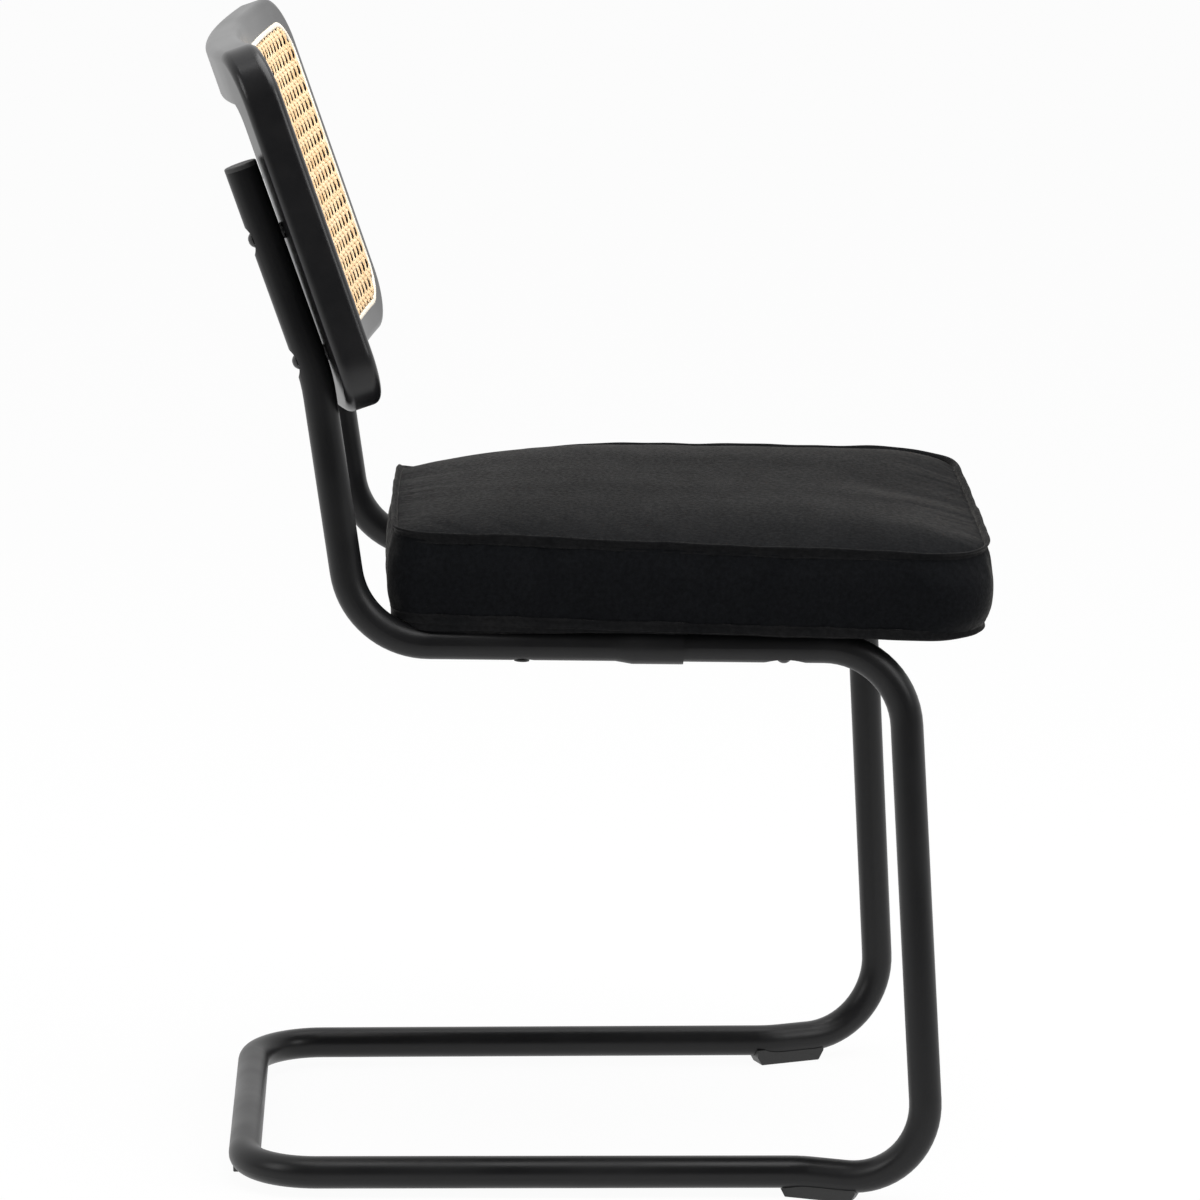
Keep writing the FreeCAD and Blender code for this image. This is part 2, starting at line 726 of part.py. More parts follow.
def seat_foam():
    """Foam block on the board, with the swell of the sides and the crown of the top."""
    inset = -SKIN_T - FIT_GAP
    sides = side_form(inset, BOARD_T, TOP_SEAM_Z)
    crown = crown_form(inset, TOP_SEAM_Z, CROWN_H - SKIN_T - FIT_GAP)
    return fused([sides, crown])


def seat_side_band():
    """The cover's side strip, seam to seam, round the foam and the board's edge."""
    outer = side_form(0.0, BOTTOM_SEAM_Z, TOP_SEAM_Z)
    foam_room = side_form(-SKIN_T, BOARD_T, TOP_SEAM_Z)
    board_room = seat_slab(-SKIN_T, BOTTOM_SEAM_Z - CUT_MARGIN, BOARD_T)
    return outer.cut(foam_room).cut(board_room)


def seat_top_panel():
    """The cover's crowned top, sewn to the side strip along the top piping."""
    outer = crown_form(0.0, TOP_SEAM_Z, CROWN_H)
    inner = crown_form(-SKIN_T, TOP_SEAM_Z, CROWN_H - SKIN_T)
    return outer.cut(inner)


def piping(z):
    """Round welt sewn along a seam, just outside the cover."""
    path = seat_outline(PIPING_R + PIPING_GAP, z)
    start = path.Vertexes[0].Point
    tangent = path.Edges[0].tangentAt(path.Edges[0].FirstParameter)
    ring = Part.Wire(Part.makeCircle(PIPING_R, start, tangent))
    return path.makePipeShell([ring], True, False)


def seat_local_bolts():
    """Places of the left-hand seat bolts in the seat's own frame, with their tube centres."""
    inverse = seat_placement().inverse()
    return {
        "front": inverse.multVec(on_rail(SEAT_FRONT_BOLT_Y)),
        "rear": inverse.multVec(on_rail(SEAT_REAR_BOLT_Y)),
    }


def both_sides(left):
    return Part.makeCompound([left, mirrored(left, -1.0)])


def seat_board():
    """Plywood board under the foam, with a bore for each tee nut."""
    board = seat_slab(BOARD_HALF_W - SEAT_HALF_W, 0, BOARD_T - FIT_GAP)
    for spot in seat_local_bolts().values():
        below = Vector(spot.x, spot.y, -CUT_MARGIN)
        bore = cylinder(TEE_BARREL_R + FIT_GAP, below, Vector(0, 0, 1), 2 * BOARD_T)
        sink_z = BOARD_T - FIT_GAP - TEE_FLANGE_T
        sink = cylinder(TEE_FLANGE_R + FIT_GAP, Vector(spot.x, spot.y, sink_z), Vector(0, 0, 1), BOARD_T)
        board = board.cut(both_sides(bore.fuse(sink)))
    return board


def tee_nuts():
    """Four tee nuts let into the top of the board."""
    solids = []
    for spot in seat_local_bolts().values():
        top = BOARD_T - FIT_GAP - TEE_RECESS
        flange_t = TEE_FLANGE_T - TEE_RECESS
        flange = cylinder(TEE_FLANGE_R, Vector(spot.x, spot.y, top - flange_t), Vector(0, 0, 1), flange_t)
        foot = Vector(spot.x, spot.y, TEE_BARREL_LOW)
        barrel = cylinder(TEE_BARREL_R, foot, Vector(0, 0, 1), top - TEE_BARREL_LOW)
        bore = cylinder(BOLT_R + FIT_GAP, Vector(spot.x, spot.y, 0), Vector(0, 0, 1), BOARD_T)
        solids.append(both_sides(fused([flange, barrel]).cut(bore)))
    return Part.makeCompound([s for group in solids for s in group.Solids])


def seat_front_bolts():
    """Domed bolts in the front dimples."""
    spot = seat_local_bolts()["front"]
    seat_z = spot.z - head_seat(FRONT_DIMPLE)
    head = dome_head(Vector(spot.x, spot.y, seat_z), Vector(0, 0, -1))
    start = Vector(spot.x, spot.y, seat_z - SHANK_IN_HEAD)
    shank = cylinder(BOLT_R, start, Vector(0, 0, 1), BOARD_T - BOLT_TIP_DEPTH - seat_z)
    return both_sides(fused([head, shank]))


def seat_rear_bolts():
    """Flat-headed bolts that hide in the shallow rear dimples."""
    spot = seat_local_bolts()["rear"]
    seat_z = spot.z - head_seat(REAR_DIMPLE)
    base = Vector(spot.x, spot.y, seat_z - FLAT_HEAD_H)
    head = cylinder(HEAD_R, base, Vector(0, 0, 1), FLAT_HEAD_H)
    socket = hex_socket(base + Vector(0, 0, 1) * (HEX_DEPTH - FLAT_HEAD_H), Vector(0, 0, -1))
    start = base + Vector(0, 0, FLAT_HEAD_H / 2)
    shank = cylinder(BOLT_R, start, Vector(0, 0, 1), BOARD_T - BOLT_TIP_DEPTH - base.z)
    return both_sides(fused([head, shank]).cut(socket))


def seat_spacer(name):
    """Discs between the rails and the board: thin at the front, thick at the rear."""
    spot = seat_local_bolts()[name]
    low = spot.z + TUBE_R + FIT_GAP
    disc = cylinder(SPACER_R, Vector(spot.x, spot.y, low), Vector(0, 0, 1), -low - TOUCH_GAP)
    below = Vector(spot.x, spot.y, low - CUT_MARGIN)
    bore = cylinder(BOLT_HOLE_R, below, Vector(0, 0, 1), 2 * CUT_MARGIN - low)
    return both_sides(disc.cut(bore))


def dust_cover():
    """Thin black cloth under the board, between the two rails."""
    inset = SEAT_HALF_W - (SEAT_CORNER.x - TUBE_R - DUST_COVER_MARGIN)
    return seat_slab(-inset, -DUST_COVER_T - TOUCH_GAP, -TOUCH_GAP)


def build():
    os.makedirs("parts", exist_ok=True)
    save("lower_frame", lower_frame())
    tube = side_tube()
    cap = end_cap()
    front_pad = front_glide()
    rear_pad = rear_glide()
    for side_name, side in SIDES.items():
        save("side_tube_" + side_name, mirrored(tube, side))
        save("end_cap_" + side_name, mirrored(cap, side))
        save("front_glide_" + side_name, mirrored(front_pad, side))
        save("rear_glide_" + side_name, mirrored(rear_pad, side))
    for name, member in back_members().items():
        save(name, place_back(member))
    save("back_dowels", place_back(dowels()))
    save("back_spline", place_back(spline()))
    save("back_cane_panel", place_back(cane_panel()))
    save("back_bolts", place_back(back_bolts()))
    save("back_washers", place_back(back_washers()))
    save("back_inserts", place_back(back_inserts()))
    save("seat_board", place_seat(seat_board()))
    save("seat_foam", place_seat(seat_foam()))
    save("seat_side_band", place_seat(seat_side_band()))
    save("seat_top_panel", place_seat(seat_top_panel()))
    save("seat_top_piping", place_seat(piping(TOP_SEAM_Z)))
    save("seat_bottom_piping", place_seat(piping(BOTTOM_SEAM_Z)))
    save("seat_dust_cover", place_seat(dust_cover()))
    save("seat_tee_nuts", place_seat(tee_nuts()))
    save("seat_front_bolts", place_seat(seat_front_bolts()))
    save("seat_rear_bolts", place_seat(seat_rear_bolts()))
    save("seat_front_washers", place_seat(seat_spacer("front")))
    save("seat_rear_spacers", place_seat(seat_spacer("rear")))


build()
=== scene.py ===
import math

import bpy
import numpy as np
from mathutils import Matrix, Vector, noise


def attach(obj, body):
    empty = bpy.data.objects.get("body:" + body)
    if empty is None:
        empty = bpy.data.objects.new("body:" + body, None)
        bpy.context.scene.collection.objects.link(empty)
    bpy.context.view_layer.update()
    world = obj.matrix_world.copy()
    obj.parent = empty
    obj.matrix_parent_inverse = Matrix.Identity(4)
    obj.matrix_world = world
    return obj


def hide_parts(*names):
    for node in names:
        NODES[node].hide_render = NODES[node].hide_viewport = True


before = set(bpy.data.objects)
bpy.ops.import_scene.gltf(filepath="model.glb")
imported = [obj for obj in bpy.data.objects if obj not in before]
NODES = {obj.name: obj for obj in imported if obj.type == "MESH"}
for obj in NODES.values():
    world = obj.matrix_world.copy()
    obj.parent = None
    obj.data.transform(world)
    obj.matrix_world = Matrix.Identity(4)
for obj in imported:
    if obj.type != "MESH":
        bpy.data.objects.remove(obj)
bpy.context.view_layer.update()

# Camera: where the photograph was taken from, in metres and degrees, with the lens for a 36 mm sensor
CAMERA_PLACE = Vector((-4.2845, 0.1483, 1.2205))
CAMERA_YAW = 2.02
CAMERA_PITCH = 10.66
CAMERA_ROLL = 0.36
CAMERA_LENS = 172.455
SENSOR_WIDTH = 36.0

# Studio: the sky's light, how dark its open side is, and how much of the floor's white is its own
SKY_LIGHT = 0.5
STUDIO_DARK = 0.06
FLOOR_GLOW = 0.95

# Backrest frame: its foot, its lean, and the radius of its curved front face
BACK_FOOT = Vector((0.0, 0.1792, 0.5893))
BACK_LEAN = 19.15
BACK_HALF_W = 0.234
BACK_SAG = 0.027
BACK_HEIGHT = 0.2735
BACK_RADIUS = (BACK_HALF_W ** 2 + BACK_SAG ** 2) / (2 * BACK_SAG)

# Reed spline and the cane inside it
SPLINE_SIDE = 0.017
SPLINE_END = 0.020
SPLINE_CORNER_R = 0.032
SPLINE_WIDTH = 0.0042
SPLINE_PROUD = 0.0016
SPLINE_DEPTH = 0.0040
GROOVE_GAP = 0.0002
CANE_PITCH = 0.0134
CANE_PAIR = 0.0029
STRAND_WIDTH = 0.0025
DIAGONAL_WIDTH = 0.0022
STRAND_THICK = 0.00045
WEAVE_LIFT = 0.00042
CANE_FRONT = 0.0008
STRAND_DRIFT = 0.00012
DRIFT_LENGTH = 0.031

# Cross-section of a strand as shares of its width and thickness: crowned in front and flatter behind
STRAND_SECTION = ((-0.5, -0.35), (-0.46, 0.15), (-0.22, 0.44), (0.0, 0.5), (0.22, 0.44), (0.46, 0.15), (0.5, -0.35),
                  (0.0, -0.5))

# Seat frame: it tilts about X at the pivot, and the board's underside is its zero height.
# The cushion sits a little askew on the frame.
SEAT_TILT = 1.6
SEAT_SKEW = -1.0
SEAT_PIVOT = Vector((0.0, -0.200, 0.429))

# Seat outline, the bow of its sides in degrees, and the heights of its two seams
SEAT_HALF_W = 0.218
SEAT_FRONT = -0.2812
SEAT_REAR = 0.151
SIDE_BOW = 1.5
TOP_SEAM = 0.0600
BOTTOM_SEAM = 0.001
SEAT_MIDDLE = (SEAT_FRONT + SEAT_REAR) / 2
SEAT_HALF_D = (SEAT_REAR - SEAT_FRONT) / 2

# How the seams rise to the rear and lift and twist on the far side. Their waves are (turns, share, phase).
SEAM_RISE = 0.0025
FAR_LIFT = 0.0020
FAR_TWIST = -0.0072
SEAM_WAVE = 0.0006
SEAM_WAVES = ((7, 0.45, 0.4), (13, 0.35, 2.1), (29, 0.2, 4.0))

# Crown of the top, with its lean to the front and how soon it is reached, and the swell of the sides
CROWN = 0.0080
CROWN_LEAN = -0.5
CROWN_SPREAD = 0.034
SIDE_BULGE = 0.0042

# Corners in the order far rear, near rear, near front, far front: their radius at the bottom seam and at the top
# one, how much less it is between them, how far the top seam slumps there and how wide the slump is
FOOT_R = (0.044, 0.031, 0.066, 0.064)
CORNER_R = (0.080, 0.031, 0.070, 0.068)
CORNER_FILL = (0.006, 0.003, 0.018, 0.018)
CORNER_SLUMP = (0.0190, 0.0008, 0.0030, 0.0010)
SLUMP_SPREAD = (0.085, 0.050, 0.050, 0.050)

# The rail's top seen from the seat: its height under the board at one place along the seat, and its slope
RAIL_AT = -0.120
RAIL_HEIGHT = -0.0015
RAIL_SLOPE = -0.0405

# Cushion mesh: points round the outline, rows up the side, and the simulation's settings
OUTLINE_POINTS = 288
SIDE_ROWS = 12
AIR_PRESSURE = 4.0
SETTLE_FRAMES = 20
FURTHEST_MOVE = 0.005
SIDE_SLACK = 0.014
TOP_SLACK = 0.003

# Unevenness of foam under cloth, and gathers along the top seam: how deep, how far in and how close together
UNEVENNESS = 0.0007
PUCKER = 0.0010
PUCKER_REACH = 0.022
PUCKER_PITCH = 95
SEAM_EDGE = 0.0025

# Wrap of the velvet under the board: how far it dips and how soon
WRAP_DROP = 0.0016
WRAP_SPREAD = 0.003


def rotation_x(degrees):
    return Matrix.Rotation(math.radians(degrees), 4, "X")


BACK_FRAME = np.array(Matrix.Translation(BACK_FOOT) @ rotation_x(-BACK_LEAN))
SEAT_FRAME = np.array(
    Matrix.Translation(SEAT_PIVOT) @ rotation_x(SEAT_TILT) @ Matrix.Translation((0, -SEAT_PIVOT.y, 0))
    @ Matrix.Rotation(math.radians(SEAT_SKEW), 4, "Z")
)


def placed(points, place):
    """Points of a local frame, as an array, in the chair's frame."""
    return points @ place[:3, :3].T + place[:3, 3]


def mesh_piece(name, points, faces, smooth=True):
    mesh = bpy.data.meshes.new(name)
    mesh.from_pydata([tuple(p) for p in points], [], [tuple(f) for f in faces])
    mesh.validate()
    if smooth:
        mesh.polygons.foreach_set("use_smooth", [True] * len(mesh.polygons))
    mesh.update()
    piece = bpy.data.objects.new(name, mesh)
    bpy.context.scene.collection.objects.link(piece)
    return piece


def aim(obj, target):
    obj.rotation_mode = "QUATERNION"
    obj.rotation_quaternion = (Vector(target) - obj.location).to_track_quat("-Z", "Y")


# Camera and stage

def make_camera():
    yaw, pitch, roll = (math.radians(a) for a in (CAMERA_YAW, CAMERA_PITCH, CAMERA_ROLL))
    ahead = Vector((math.cos(yaw) * math.cos(pitch), -math.sin(yaw) * math.cos(pitch), -math.sin(pitch)))
    level = ahead.cross(Vector((0, 0, 1))).normalized()
    upright = level.cross(ahead)
    right = level * math.cos(roll) + upright * math.sin(roll)
    up = upright * math.cos(roll) - level * math.sin(roll)
    data = bpy.data.cameras.new("camera")
    data.sensor_width = SENSOR_WIDTH
    data.lens = CAMERA_LENS
    data.clip_end = 200
    camera = bpy.data.objects.new("camera", data)
    bpy.context.scene.collection.objects.link(camera)
    turn = Matrix((right, up, -ahead)).transposed().to_4x4()
    camera.matrix_world = Matrix.Translation(CAMERA_PLACE) @ turn
    bpy.context.scene.camera = camera


def new_shader(owner):
    """An empty node tree, with its output and a light path to tell rays apart."""
    owner.use_nodes = True
    nodes, links = owner.node_tree.nodes, owner.node_tree.links
    nodes.clear()
    return nodes, links, nodes.new("ShaderNodeLightPath")


def sum_of(nodes, links, operation, first, second):
    node = nodes.new("ShaderNodeMath")
    node.operation = operation
    for socket, value in zip(node.inputs, (first, second)):
        if isinstance(value, bpy.types.NodeSocket):
            links.new(value, socket)
        else:
            socket.default_value = value
    return node.outputs[0]


def ramp_of(nodes, links, value, low, high, dark):
    """Runs from a dark value at low to 1 at high, smoothly."""
    node = nodes.new("ShaderNodeMapRange")
    node.interpolation_type = "SMOOTHSTEP"
    node.inputs["From Min"].default_value = low
    node.inputs["From Max"].default_value = high
    node.inputs["To Min"].default_value = dark
    node.inputs["To Max"].default_value = 1.0
    links.new(value, node.inputs["Value"])
    return node.outputs["Result"]


def x_of(nodes, links, output):
    node = nodes.new("ShaderNodeSeparateXYZ")
    links.new(output, node.inputs[0])
    return node.outputs["X"]


def make_world():
    """A studio that is white behind the chair and dark on its open side, at -X. Looked at, it is all white."""
    world = bpy.data.worlds.new("studio")
    bpy.context.scene.world = world
    nodes, links, path = new_shader(world)
    way = nodes.new("ShaderNodeTexCoord")
    mirrored = ramp_of(nodes, links, x_of(nodes, links, way.outputs["Generated"]), -0.45, 0.35, STUDIO_DARK)
    mirrored = sum_of(nodes, links, "MULTIPLY", mirrored, path.outputs["Is Glossy Ray"])
    seen = sum_of(nodes, links, "MAXIMUM", path.outputs["Is Camera Ray"], path.outputs["Is Transmission Ray"])
    shown = sum_of(nodes, links, "MAXIMUM", mirrored, seen)
    other = sum_of(nodes, links, "MAXIMUM", path.outputs["Is Glossy Ray"], seen)
    spare = sum_of(nodes, links, "MULTIPLY", sum_of(nodes, links, "SUBTRACT", 1.0, other), SKY_LIGHT)
    sky = nodes.new("ShaderNodeBackground")
    sky.inputs["Color"].default_value = (1, 1, 1, 1)
    links.new(sum_of(nodes, links, "ADD", shown, spare), sky.inputs["Strength"])
    out = nodes.new("ShaderNodeOutputWorld")
    links.new(sky.outputs[0], out.inputs["Surface"])


def make_floor():
    """Pale floor: white to look at, with a faint shadow, and dark to mirror where the studio is dark."""
    half = 40.0
    corners = [(-half, -half, 0), (half, -half, 0), (half, half, 0), (-half, half, 0)]
    floor = mesh_piece("floor", corners, [(0, 1, 2, 3)], smooth=False)
    material = bpy.data.materials.new("pale_floor")
    nodes, links, path = new_shader(material)
    place = nodes.new("ShaderNodeTexCoord")
    lit = ramp_of(nodes, links, x_of(nodes, links, place.outputs["Object"]), -2.2, -0.3, STUDIO_DARK)
    lit = sum_of(nodes, links, "MULTIPLY", lit, path.outputs["Is Glossy Ray"])
    seen = sum_of(nodes, links, "MAXIMUM", path.outputs["Is Camera Ray"], path.outputs["Is Transmission Ray"])
    glow = nodes.new("ShaderNodeEmission")
    links.new(sum_of(nodes, links, "MAXIMUM", lit, seen), glow.inputs["Strength"])
    paint = nodes.new("ShaderNodeBsdfDiffuse")
    paint.inputs["Color"].default_value = (0.9, 0.9, 0.9, 1)
    other = sum_of(nodes, links, "MAXIMUM", path.outputs["Is Glossy Ray"], seen)
    mix = nodes.new("ShaderNodeMixShader")
    out = nodes.new("ShaderNodeOutputMaterial")
    links.new(sum_of(nodes, links, "MULTIPLY", other, FLOOR_GLOW), mix.inputs[0])
    links.new(paint.outputs[0], mix.inputs[1])
    links.new(glow.outputs[0], mix.inputs[2])
    links.new(mix.outputs[0], out.inputs["Surface"])
    floor.data.materials.append(material)


def softbox(name, place, target, size, power):
    data = bpy.data.lights.new(name, "AREA")
    data.shape = "RECTANGLE"
    data.size, data.size_y = size
    data.energy = power
    lamp = bpy.data.objects.new(name, data)
    lamp.location = place
    aim(lamp, target)
    bpy.context.scene.collection.objects.link(lamp)


def make_lights():
    softbox("overhead", (-0.3, -0.4, 2.6), (0, 0, 0.4), (2.2, 2.2), 60)
    softbox("front_side", (-1.6, -2.4, 1.9), (0, 0, 0.5), (1.2, 1.6), 30)
    softbox("rear_side", (-1.4, 2.4, 1.6), (0, 0.1, 0.5), (1.0, 1.6), 20)


# Materials

VELVET_BLOOM = (0.42, 0.405, 0.385)


class Recipe:
    """A material under construction: one Principled shader and the nodes that feed it."""

    def __init__(self, name, colour, roughness, **sockets):
        self.material = bpy.data.materials.new(name)
        self.material.use_nodes = True
        self.nodes = self.material.node_tree.nodes
        self.links = self.material.node_tree.links
        self.shader = self.nodes["Principled BSDF"]
        self.set("Base Color", (*colour, 1))
        self.set("Roughness", roughness)
        for socket, value in sockets.items():
            self.set(socket.replace("_", " "), value)
        self.bumps = None

    def set(self, socket, value):
        self.shader.inputs[socket].default_value = value

    def place(self, stretch=(1, 1, 1), source="Object"):
        """Coordinates in metres, stretched per axis."""
        coordinates = self.nodes.new("ShaderNodeTexCoord")
        mapping = self.nodes.new("ShaderNodeMapping")
        mapping.inputs["Scale"].default_value = stretch
        self.links.new(coordinates.outputs[source], mapping.inputs["Vector"])
        return mapping.outputs["Vector"]

    def noise(self, scale, detail=2.0, stretch=(1, 1, 1), source="Object", distortion=0.0):
        texture = self.nodes.new("ShaderNodeTexNoise")
        texture.inputs["Scale"].default_value = scale
        texture.inputs["Detail"].default_value = detail
        texture.inputs["Distortion"].default_value = distortion
        self.links.new(self.place(stretch, source), texture.inputs["Vector"])
        return texture.outputs["Fac"]

    def attribute(self, name):
        node = self.nodes.new("ShaderNodeAttribute")
        node.attribute_name = name
        return node.outputs["Fac"]

    def remap(self, value, low, high, out_low, out_high):
        node = self.nodes.new("ShaderNodeMapRange")
        node.inputs["From Min"].default_value = low
        node.inputs["From Max"].default_value = high
        node.inputs["To Min"].default_value = out_low
        node.inputs["To Max"].default_value = out_high
        self.links.new(value, node.inputs["Value"])
        return node.outputs["Result"]

    def ramp(self, value, *stops):
        node = self.nodes.new("ShaderNodeValToRGB")
        ramp = node.color_ramp
        while len(ramp.elements) < len(stops):
            ramp.elements.new(0.5)
        for element, (spot, colour) in zip(ramp.elements, stops):
            element.position = spot
            element.color = (*colour, 1)
        self.links.new(value, node.inputs["Fac"])
        return node.outputs["Color"]

    def mix(self, factor, first, second, mode="MIX"):
        node = self.nodes.new("ShaderNodeMix")
        node.data_type = "RGBA"
        node.blend_type = mode
        for socket, value in ((0, factor), (6, first), (7, second)):
            if isinstance(value, bpy.types.NodeSocket):
                self.links.new(value, node.inputs[socket])
            elif socket == 0:
                node.inputs[0].default_value = value
            else:
                node.inputs[socket].default_value = (*value, 1)
        return node.outputs[2]

    def colour(self, output):
        self.links.new(output, self.shader.inputs["Base Color"])

    def roughness(self, value, low, high, spread=(0.35, 0.65)):
        self.links.new(self.remap(value, *spread, low, high), self.shader.inputs["Roughness"])

    def bump(self, height, distance, strength=1.0):
        node = self.nodes.new("ShaderNodeBump")
        node.inputs["Distance"].default_value = distance
        node.inputs["Strength"].default_value = strength
        self.links.new(height, node.inputs["Height"])
        if self.bumps is not None:
            self.links.new(self.bumps, node.inputs["Normal"])
        self.bumps = node.outputs["Normal"]
        self.links.new(self.bumps, self.shader.inputs["Normal"])


def powder_coat():
    """Satin black powder coat: a fine orange peel and faint handling marks."""
    m = Recipe("powder_coat", (0.0065, 0.0065, 0.007), 0.36, IOR=1.36)
    peel = m.noise(900, 2)
    broad = m.noise(14, 3)
    m.colour(m.ramp(broad, (0.3, (0.0055, 0.0055, 0.006)), (0.7, (0.0075, 0.0075, 0.008))))
    m.roughness(broad, 0.32, 0.42)
    m.bump(peel, 0.00006, 0.6)
    return m.material


def black_lacquer():
    """Black lacquer over beech: even, with the grain barely telegraphing through."""
    m = Recipe("black_lacquer", (0.007, 0.007, 0.0078), 0.24, IOR=1.45)
    grain = m.noise(60, 4, stretch=(0.12, 1, 1), distortion=0.4)
    broad = m.noise(9, 3)
    m.colour(m.ramp(grain, (0.35, (0.006, 0.006, 0.0068)), (0.7, (0.009, 0.0087, 0.0093))))
    m.roughness(broad, 0.28, 0.32)
    m.bump(grain, 0.00002, 0.3)
    return m.material


def plain_black(name, shade, roughness, grain_scale, grain_depth):
    """Moulded plastic, rubber or blackened steel with its own surface grain."""
    m = Recipe(name, (shade, shade, shade), roughness)
    grain = m.noise(grain_scale, 3)
    m.colour(m.ramp(grain, (0.3, (shade * 0.8,) * 3), (0.7, (shade * 1.25,) * 3)))
    m.roughness(grain, roughness - 0.06, roughness + 0.06)
    m.bump(grain, grain_depth, 0.7)
    return m.material


def woven_cane():
    """Peeled cane: warm peach to straw, streaked along each strand, with darker nodes."""
    m = Recipe("woven_cane", (0.80, 0.56, 0.32), 0.45, IOR=1.45)
    tone = m.attribute("tone")
    streak = m.noise(1, 4, stretch=(60, 1800, 1), source="UV")
    blotch = m.noise(45, 3)
    base = m.ramp(tone, (0.0, (0.84, 0.58, 0.31)), (0.5, (0.92, 0.66, 0.38)), (1.0, (0.96, 0.74, 0.47)))
    fibres = m.ramp(streak, (0.3, (0.86, 0.82, 0.76)), (0.62, (1, 1, 1)))
    spots = m.ramp(blotch, (0.28, (0.86, 0.76, 0.62)), (0.42, (1, 1, 1)))
    streaked = m.mix(0.75, base, fibres, "MULTIPLY")
    m.colour(m.mix(0.6, streaked, spots, "MULTIPLY"))
    m.roughness(streak, 0.36, 0.56)
    m.bump(streak, 0.0001, 0.5)
    return m.material


def reed():
    """Cream reed with fine lengthwise fibres."""
    m = Recipe("reed", (0.86, 0.80, 0.68), 0.5, IOR=1.45)
    streak = m.noise(1, 4, stretch=(25, 1500, 1), source="UV")
    broad = m.noise(30, 2)
    pale = m.ramp(streak, (0.3, (0.82, 0.74, 0.60)), (0.65, (0.95, 0.91, 0.82)))
    m.colour(m.mix(0.35, pale, m.ramp(broad, (0.35, (0.80, 0.70, 0.55)), (0.6, (1, 1, 1))), "MULTIPLY"))
    m.roughness(streak, 0.42, 0.6)
    m.bump(streak, 0.00012, 0.5)
    return m.material


def velvet(name, deep, lit, sheen):
    """Short cotton pile: nearly black face on, with a soft warm bloom at a low angle and a fine mottle."""
    m = Recipe(name, deep, 0.9, IOR=1.35, Sheen_Weight=sheen, Sheen_Roughness=0.30, Specular_IOR_Level=0.12)
    pile = m.noise(1100, 2)
    mottle = m.noise(330, 3)
    brushed = m.noise(22, 3, stretch=(1, 1.8, 1), distortion=0.4)
    tint = [tuple(c * bright for c in VELVET_BLOOM) for bright in (0.55, 1.45)]
    m.links.new(m.ramp(mottle, (0.32, tint[0]), (0.68, tint[1])), m.shader.inputs["Sheen Tint"])
    shade = m.ramp(brushed, (0.3, deep), (0.7, lit))
    m.colour(m.mix(0.6, shade, m.ramp(mottle, (0.3, (0.5, 0.5, 0.5)), (0.7, (1.4, 1.4, 1.4))), "MULTIPLY"))
    m.roughness(brushed, 0.84, 0.96)
    m.bump(pile, 0.0003, 0.6)
    m.bump(mottle, 0.00035, 0.5)
    return m.material


def dust_cloth():
    """Thin non-woven cloth."""
    m = Recipe("dust_cloth", (0.02, 0.02, 0.02), 0.9)
    fibres = m.noise(700, 4, distortion=1.5)
    m.colour(m.ramp(fibres, (0.3, (0.010, 0.010, 0.010)), (0.7, (0.035, 0.035, 0.035))))
    m.roughness(fibres, 0.85, 0.97)
    m.bump(fibres, 0.0003, 0.8)
    return m.material


def raw_wood(name, early, late):
    m = Recipe(name, early, 0.65)
    rings = m.noise(90, 4, stretch=(0.08, 1, 1), distortion=0.8)
    m.colour(m.ramp(rings, (0.3, late), (0.65, early)))
    m.roughness(rings, 0.58, 0.75)
    m.bump(rings, 0.0002, 0.6)
    return m.material


def bare_metal(name, colour, roughness):
    m = Recipe(name, colour, roughness, Metallic=1.0)
    turned = m.noise(500, 2, stretch=(1, 1, 4))
    m.colour(m.ramp(turned, (0.3, tuple(c * 0.85 for c in colour)), (0.7, colour)))
    m.roughness(turned, roughness - 0.06, roughness + 0.08)
    m.bump(turned, 0.00005, 0.5)
    return m.material


def dress(material, *names):
    """Gives CAD nodes their finished material."""
    for name in names:
        slots = NODES[name].data.materials
        slots.clear()
        slots.append(material)


# Backrest pieces. Local places are (along the curve, up the back, in front of the face).

def on_back(along, height, front):
    """Places on the curved front face of the backrest, in the chair's frame."""
    turn = along / BACK_RADIUS
    reach = BACK_RADIUS - front
    local = np.stack([reach * np.sin(turn), reach * np.cos(turn) - BACK_RADIUS, height], axis=-1)
    return placed(local, BACK_FRAME)


def flat_to_arc(x):
    """Length along the curved face to the point at a distance x across."""
    return BACK_RADIUS * math.asin(x / BACK_RADIUS)


def ring_points(half_w, low, high, radius, steps):
    """A closed rounded rectangle, evenly spaced, from the middle of its lower side, as (x, z) pairs."""
    quarter = radius * math.pi / 2
    runs = [half_w - radius, quarter, high - low - 2 * radius, quarter, 2 * (half_w - radius)]
    runs += [quarter, high - low - 2 * radius, quarter, half_w - radius]
    edges = np.cumsum([0] + runs)
    places = []
    starts = [(0, low), None, (half_w, low + radius), None, (half_w - radius, high), None,
              (-half_w, high - radius), None, (radius - half_w, low)]
    ways = [(1, 0), None, (0, 1), None, (-1, 0), None, (0, -1), None, (1, 0)]
    centres = {1: (half_w - radius, low + radius, -90), 3: (half_w - radius, high - radius, 0),
               5: (radius - half_w, high - radius, 90), 7: (radius - half_w, low + radius, 180)}
    for k in range(steps):
        s = edges[-1] * k / steps
        run = int(np.searchsorted(edges, s, side="right")) - 1
        t = s - edges[run]
        if run in centres:
            cx, cz, start = centres[run]
            turn = math.radians(start) + t / radius
            places.append((cx + radius * math.cos(turn), cz + radius * math.sin(turn)))
        else:
            (x, z), (dx, dz) = starts[run], ways[run]
            places.append((x + dx * t, z + dz * t))
    return np.array(places), edges[-1]


